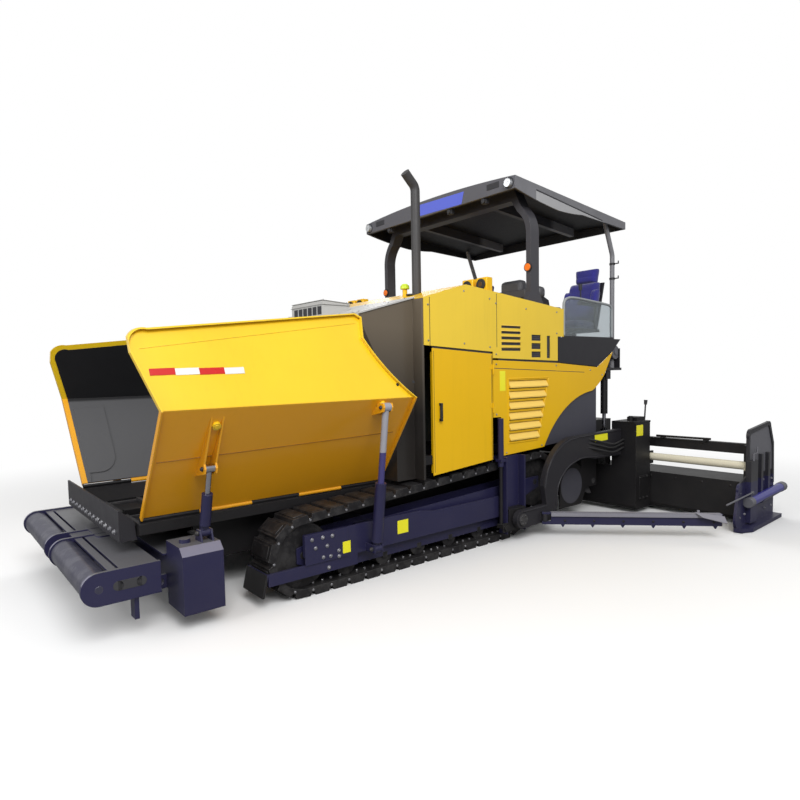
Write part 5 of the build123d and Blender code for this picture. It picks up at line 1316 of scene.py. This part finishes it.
def arm_hose(rise, out):
    """A hose along the arm into the end box."""
    return [
        (-1.62, 1.405, 0.9 + rise), (-1.8, 1.425 + out, 0.86 + rise), (-2.05, 1.43 + out, 0.8 + rise),
        (-2.22, 1.42 + out, 0.83 + rise), (-2.31, 1.44, 0.84 + rise),
    ]


def dress_arms():
    for name, line in ARM_RIMS.items():
        paired_hose(f"arm_rim_{name}", [(x, ARM_FACE, z) for x, z in line], 0.008, "charcoal", "screed")
    x, z = TOW_PIN
    caps = [along_y(x, ARM_FACE - 0.001, ARM_FACE + 0.016, z, 0.06, 28)]
    turns = [math.tau * k / 6 for k in range(6)]
    ring = [(x + 0.044 * math.cos(turn), z + 0.044 * math.sin(turn)) for turn in turns]
    paired("tow_caps", caps + side_bolts(ring, ARM_FACE + 0.016, 0.012), "wear_steel", "screed")
    paired("carrier_discs", [along_y(-1.6, 1.1995, 1.203, 0.39, 0.205, 48)], "fender_grey")
    paired("arm_signs", [upright(ARM_FACE + 0.001, ARM_SIGN, 0.0015)], "sign_yellow", "screed")
    for k, (rise, out) in enumerate(((0.0, 0.02), (0.045, 0.034), (-0.05, 0.03))):
        paired_hose(f"arm_hose_{k}", arm_hose(rise, out), 0.011, "black_rubber", "screed")


def dress_screed():
    covers = [box(-2.565, -2.375, 1.599, 1.607, 0.165, 0.455)]
    covers += side_bolts([(x, z) for x in (-2.55, -2.47, -2.39) for z in (0.185, 0.435)], 1.607, 0.016)
    covers.append(box(-2.56, -2.4, 1.43, 1.56, 1.099, 1.15))
    covers.append(along_z(-2.36, 1.5, 1.099, 1.165, 0.026))
    covers.append(box(-2.634, -2.296, 1.32, 1.604, 1.08, 1.102))
    paired("screed_covers", covers, "frame_black", "screed", edge=0.004)
    lever = [(rod, (-2.59, 1.55, 1.095), (-2.612, 1.55, 1.3), 0.009)]
    lever.append((rod, (-2.612, 1.55, 1.29), (-2.618, 1.55, 1.345), 0.017, 16, 0.021))
    paired("screed_levers", lever, "black_rubber", "screed", edge=0.001)
    paired("screed_signs", [box(-2.463, -2.312, 1.5995, 1.6013, 0.932, 1.06)], "sign_yellow", "screed")
    rails = [(rod, (-2.75, 1.62, 0.908), (-2.75, 2.25, 0.912), 0.013)]
    rails += [box(-2.845, -2.742, y - 0.012, y + 0.012, 0.879, 0.899) for y in (1.68, 2.18)]
    treads = [1.25 + 0.155 * k for k in range(9)]
    rails += [box(-3.425, -3.2, y, y + 0.012, 0.329, 0.333) for y in treads]
    rails += [(bolt, (-2.659, y, 0.43), FORWARD, 0.014) for y in (1.3, 1.6, 1.9, 2.2, 2.5)]
    paired("extension_rails", rails, "frame_black", "extension_{}", edge=0.002)


dress_arms()
dress_screed()
tell("screed pieces:")

# %% [markdown]
# **End gates and blades.** The end gates have a grey field in their shields, a bright brace and a
# screw jack; the blades have a pale top flange and a bracket at the tip.

# %% Dress the gates and the blades
GATE_FACE = 2.686
GATE_WINDOW = (
    (-2.636, 0.56), (-2.643, 0.95), (-2.652, 0.996), (-2.682, 1.01), (-3.131, 1.064), (-3.171, 1.06),
    (-3.192, 1.032), (-3.289, 0.84), (-3.309, 0.56),
)
GATE_BOLTS = (
    (-2.42, 0.14), (-2.42, 0.4), (-2.55, 0.16), (-2.85, 0.14), (-3.1, 0.14), (-3.3, 0.14),
    (-3.3, 0.45), (-3.05, 0.47), (-2.62, 0.46),
)
BRACE_Y, JACK_Y = 2.729, 2.728
BLADE_FOOT = (-0.76, 1.45)
BLADE_TURN = math.radians(134)
BLADE_FROM, BLADE_TO = 0.06, 1.72


def dress_gates():
    field = [upright(y, GATE_WINDOW, 0.001) for y in (GATE_FACE + 0.0012, 2.669)]
    paired("gate_fields", field, "shield_grey", "end_gate_{}")
    brace = (rod, (-2.6, BRACE_Y, 0.294), (-3.43, BRACE_Y, 0.331), 0.05, 28)
    paired("gate_braces", [brace], "brace_blue", "end_gate_{}")
    fittings = [
        (rod, (-2.52, BRACE_Y, 0.29), (-2.605, BRACE_Y, 0.294), 0.054, 28),
        (rod, (-3.425, BRACE_Y, 0.331), (-3.52, BRACE_Y, 0.335), 0.054, 28),
        along_z(-2.66, JACK_Y, 0.72, 0.8, 0.012),
        (rod, (-2.66, JACK_Y, 0.795), (-2.76, JACK_Y, 0.8), 0.008),
        along_z(-2.755, JACK_Y, 0.8, 0.86, 0.01),
        (rod, (-2.05, 2.705, 0.336), (-2.6, 2.745, 0.392), 0.009),
        along_y(-2.6, 2.7, 2.756, 0.392, 0.016),
    ]
    paired("gate_fittings", fittings, "shield_grey", "end_gate_{}", edge=0.002)
    paired("gate_bolts", side_bolts(GATE_BOLTS, GATE_FACE, 0.016), "roller_steel", "end_gate_{}")


def on_blade(along, out, z):
    """A point along the left blade, out from its middle towards the front."""
    cos, sin = math.cos(BLADE_TURN), math.sin(BLADE_TURN)
    return (BLADE_FOOT[0] + along * cos + out * sin, BLADE_FOOT[1] + along * sin - out * cos, z)


def blade_strip(edge, other_edge, thickness):
    """A plate along the blade between two edges, each written as (out, z)."""
    corners = [on_blade(BLADE_FROM, *edge), on_blade(BLADE_TO, *edge)]
    corners += [on_blade(BLADE_TO, *other_edge), on_blade(BLADE_FROM, *other_edge)]
    return (plate, corners, thickness)


def dress_blades():
    tip = ((1.46, 0.034, 0.285), (1.745, 0.034, 0.245), (1.745, 0.105, 0.19), (1.52, 0.095, 0.245))
    trim = [
        blade_strip((-0.031, 0.2655), (0.031, 0.2655), 0.001),
        blade_strip((0.033, 0.226), (0.033, 0.264), 0.002),
        (plate, [on_blade(*corner) for corner in tip], 0.006),
        (rod, on_blade(1.5, 0.02, 0.262), on_blade(1.5, 0.02, 0.3), 0.014),
    ]
    paired("blade_trim", trim, "flange_grey", "blade_{}", edge=0.001)
    front = (math.sin(BLADE_TURN), -math.cos(BLADE_TURN), 0)
    heads = [(bolt, on_blade(0.2 + 0.29 * k, 0.018, 0.18), front, 0.014) for k in range(6)]
    paired("blade_bolts", heads, "frame_black", "blade_{}")


dress_gates()
dress_blades()
tell("gates and blades:")

# %% [markdown]
# ## Front end
# The push beam's end plates have a long recess, drawn as a flat dark strip of painted shade. Hoses for the
# wings' rams come down behind the beam.

# %% Dress the push beam
RECESS_Z, RECESS_HALF = 0.41, 0.032


def dress_front():
    # a flat dark strip on each end plate: painted shade of its recess
    recess = [box(3.17, 3.315, 1.1585, 1.16, RECESS_Z - RECESS_HALF, RECESS_Z + RECESS_HALF)]
    recess += [along_y(x, 1.1585, 1.16, RECESS_Z, RECESS_HALF, 24) for x in (3.17, 3.315)]
    paired("beam_recess_shade", recess, "roof_dark", "push_beam")
    for k in range(2):
        line = [
            (2.66 - 0.03 * k, 0.7, 0.52), (2.74, 0.78 + 0.05 * k, 0.6),
            (2.7, 0.95, 0.57 + 0.03 * k), (2.7, 1.05, 0.62),
        ]
        paired_hose(f"front_hose_{k}", line, 0.01, "black_rubber")


dress_front()
print("added pieces:", len(added))
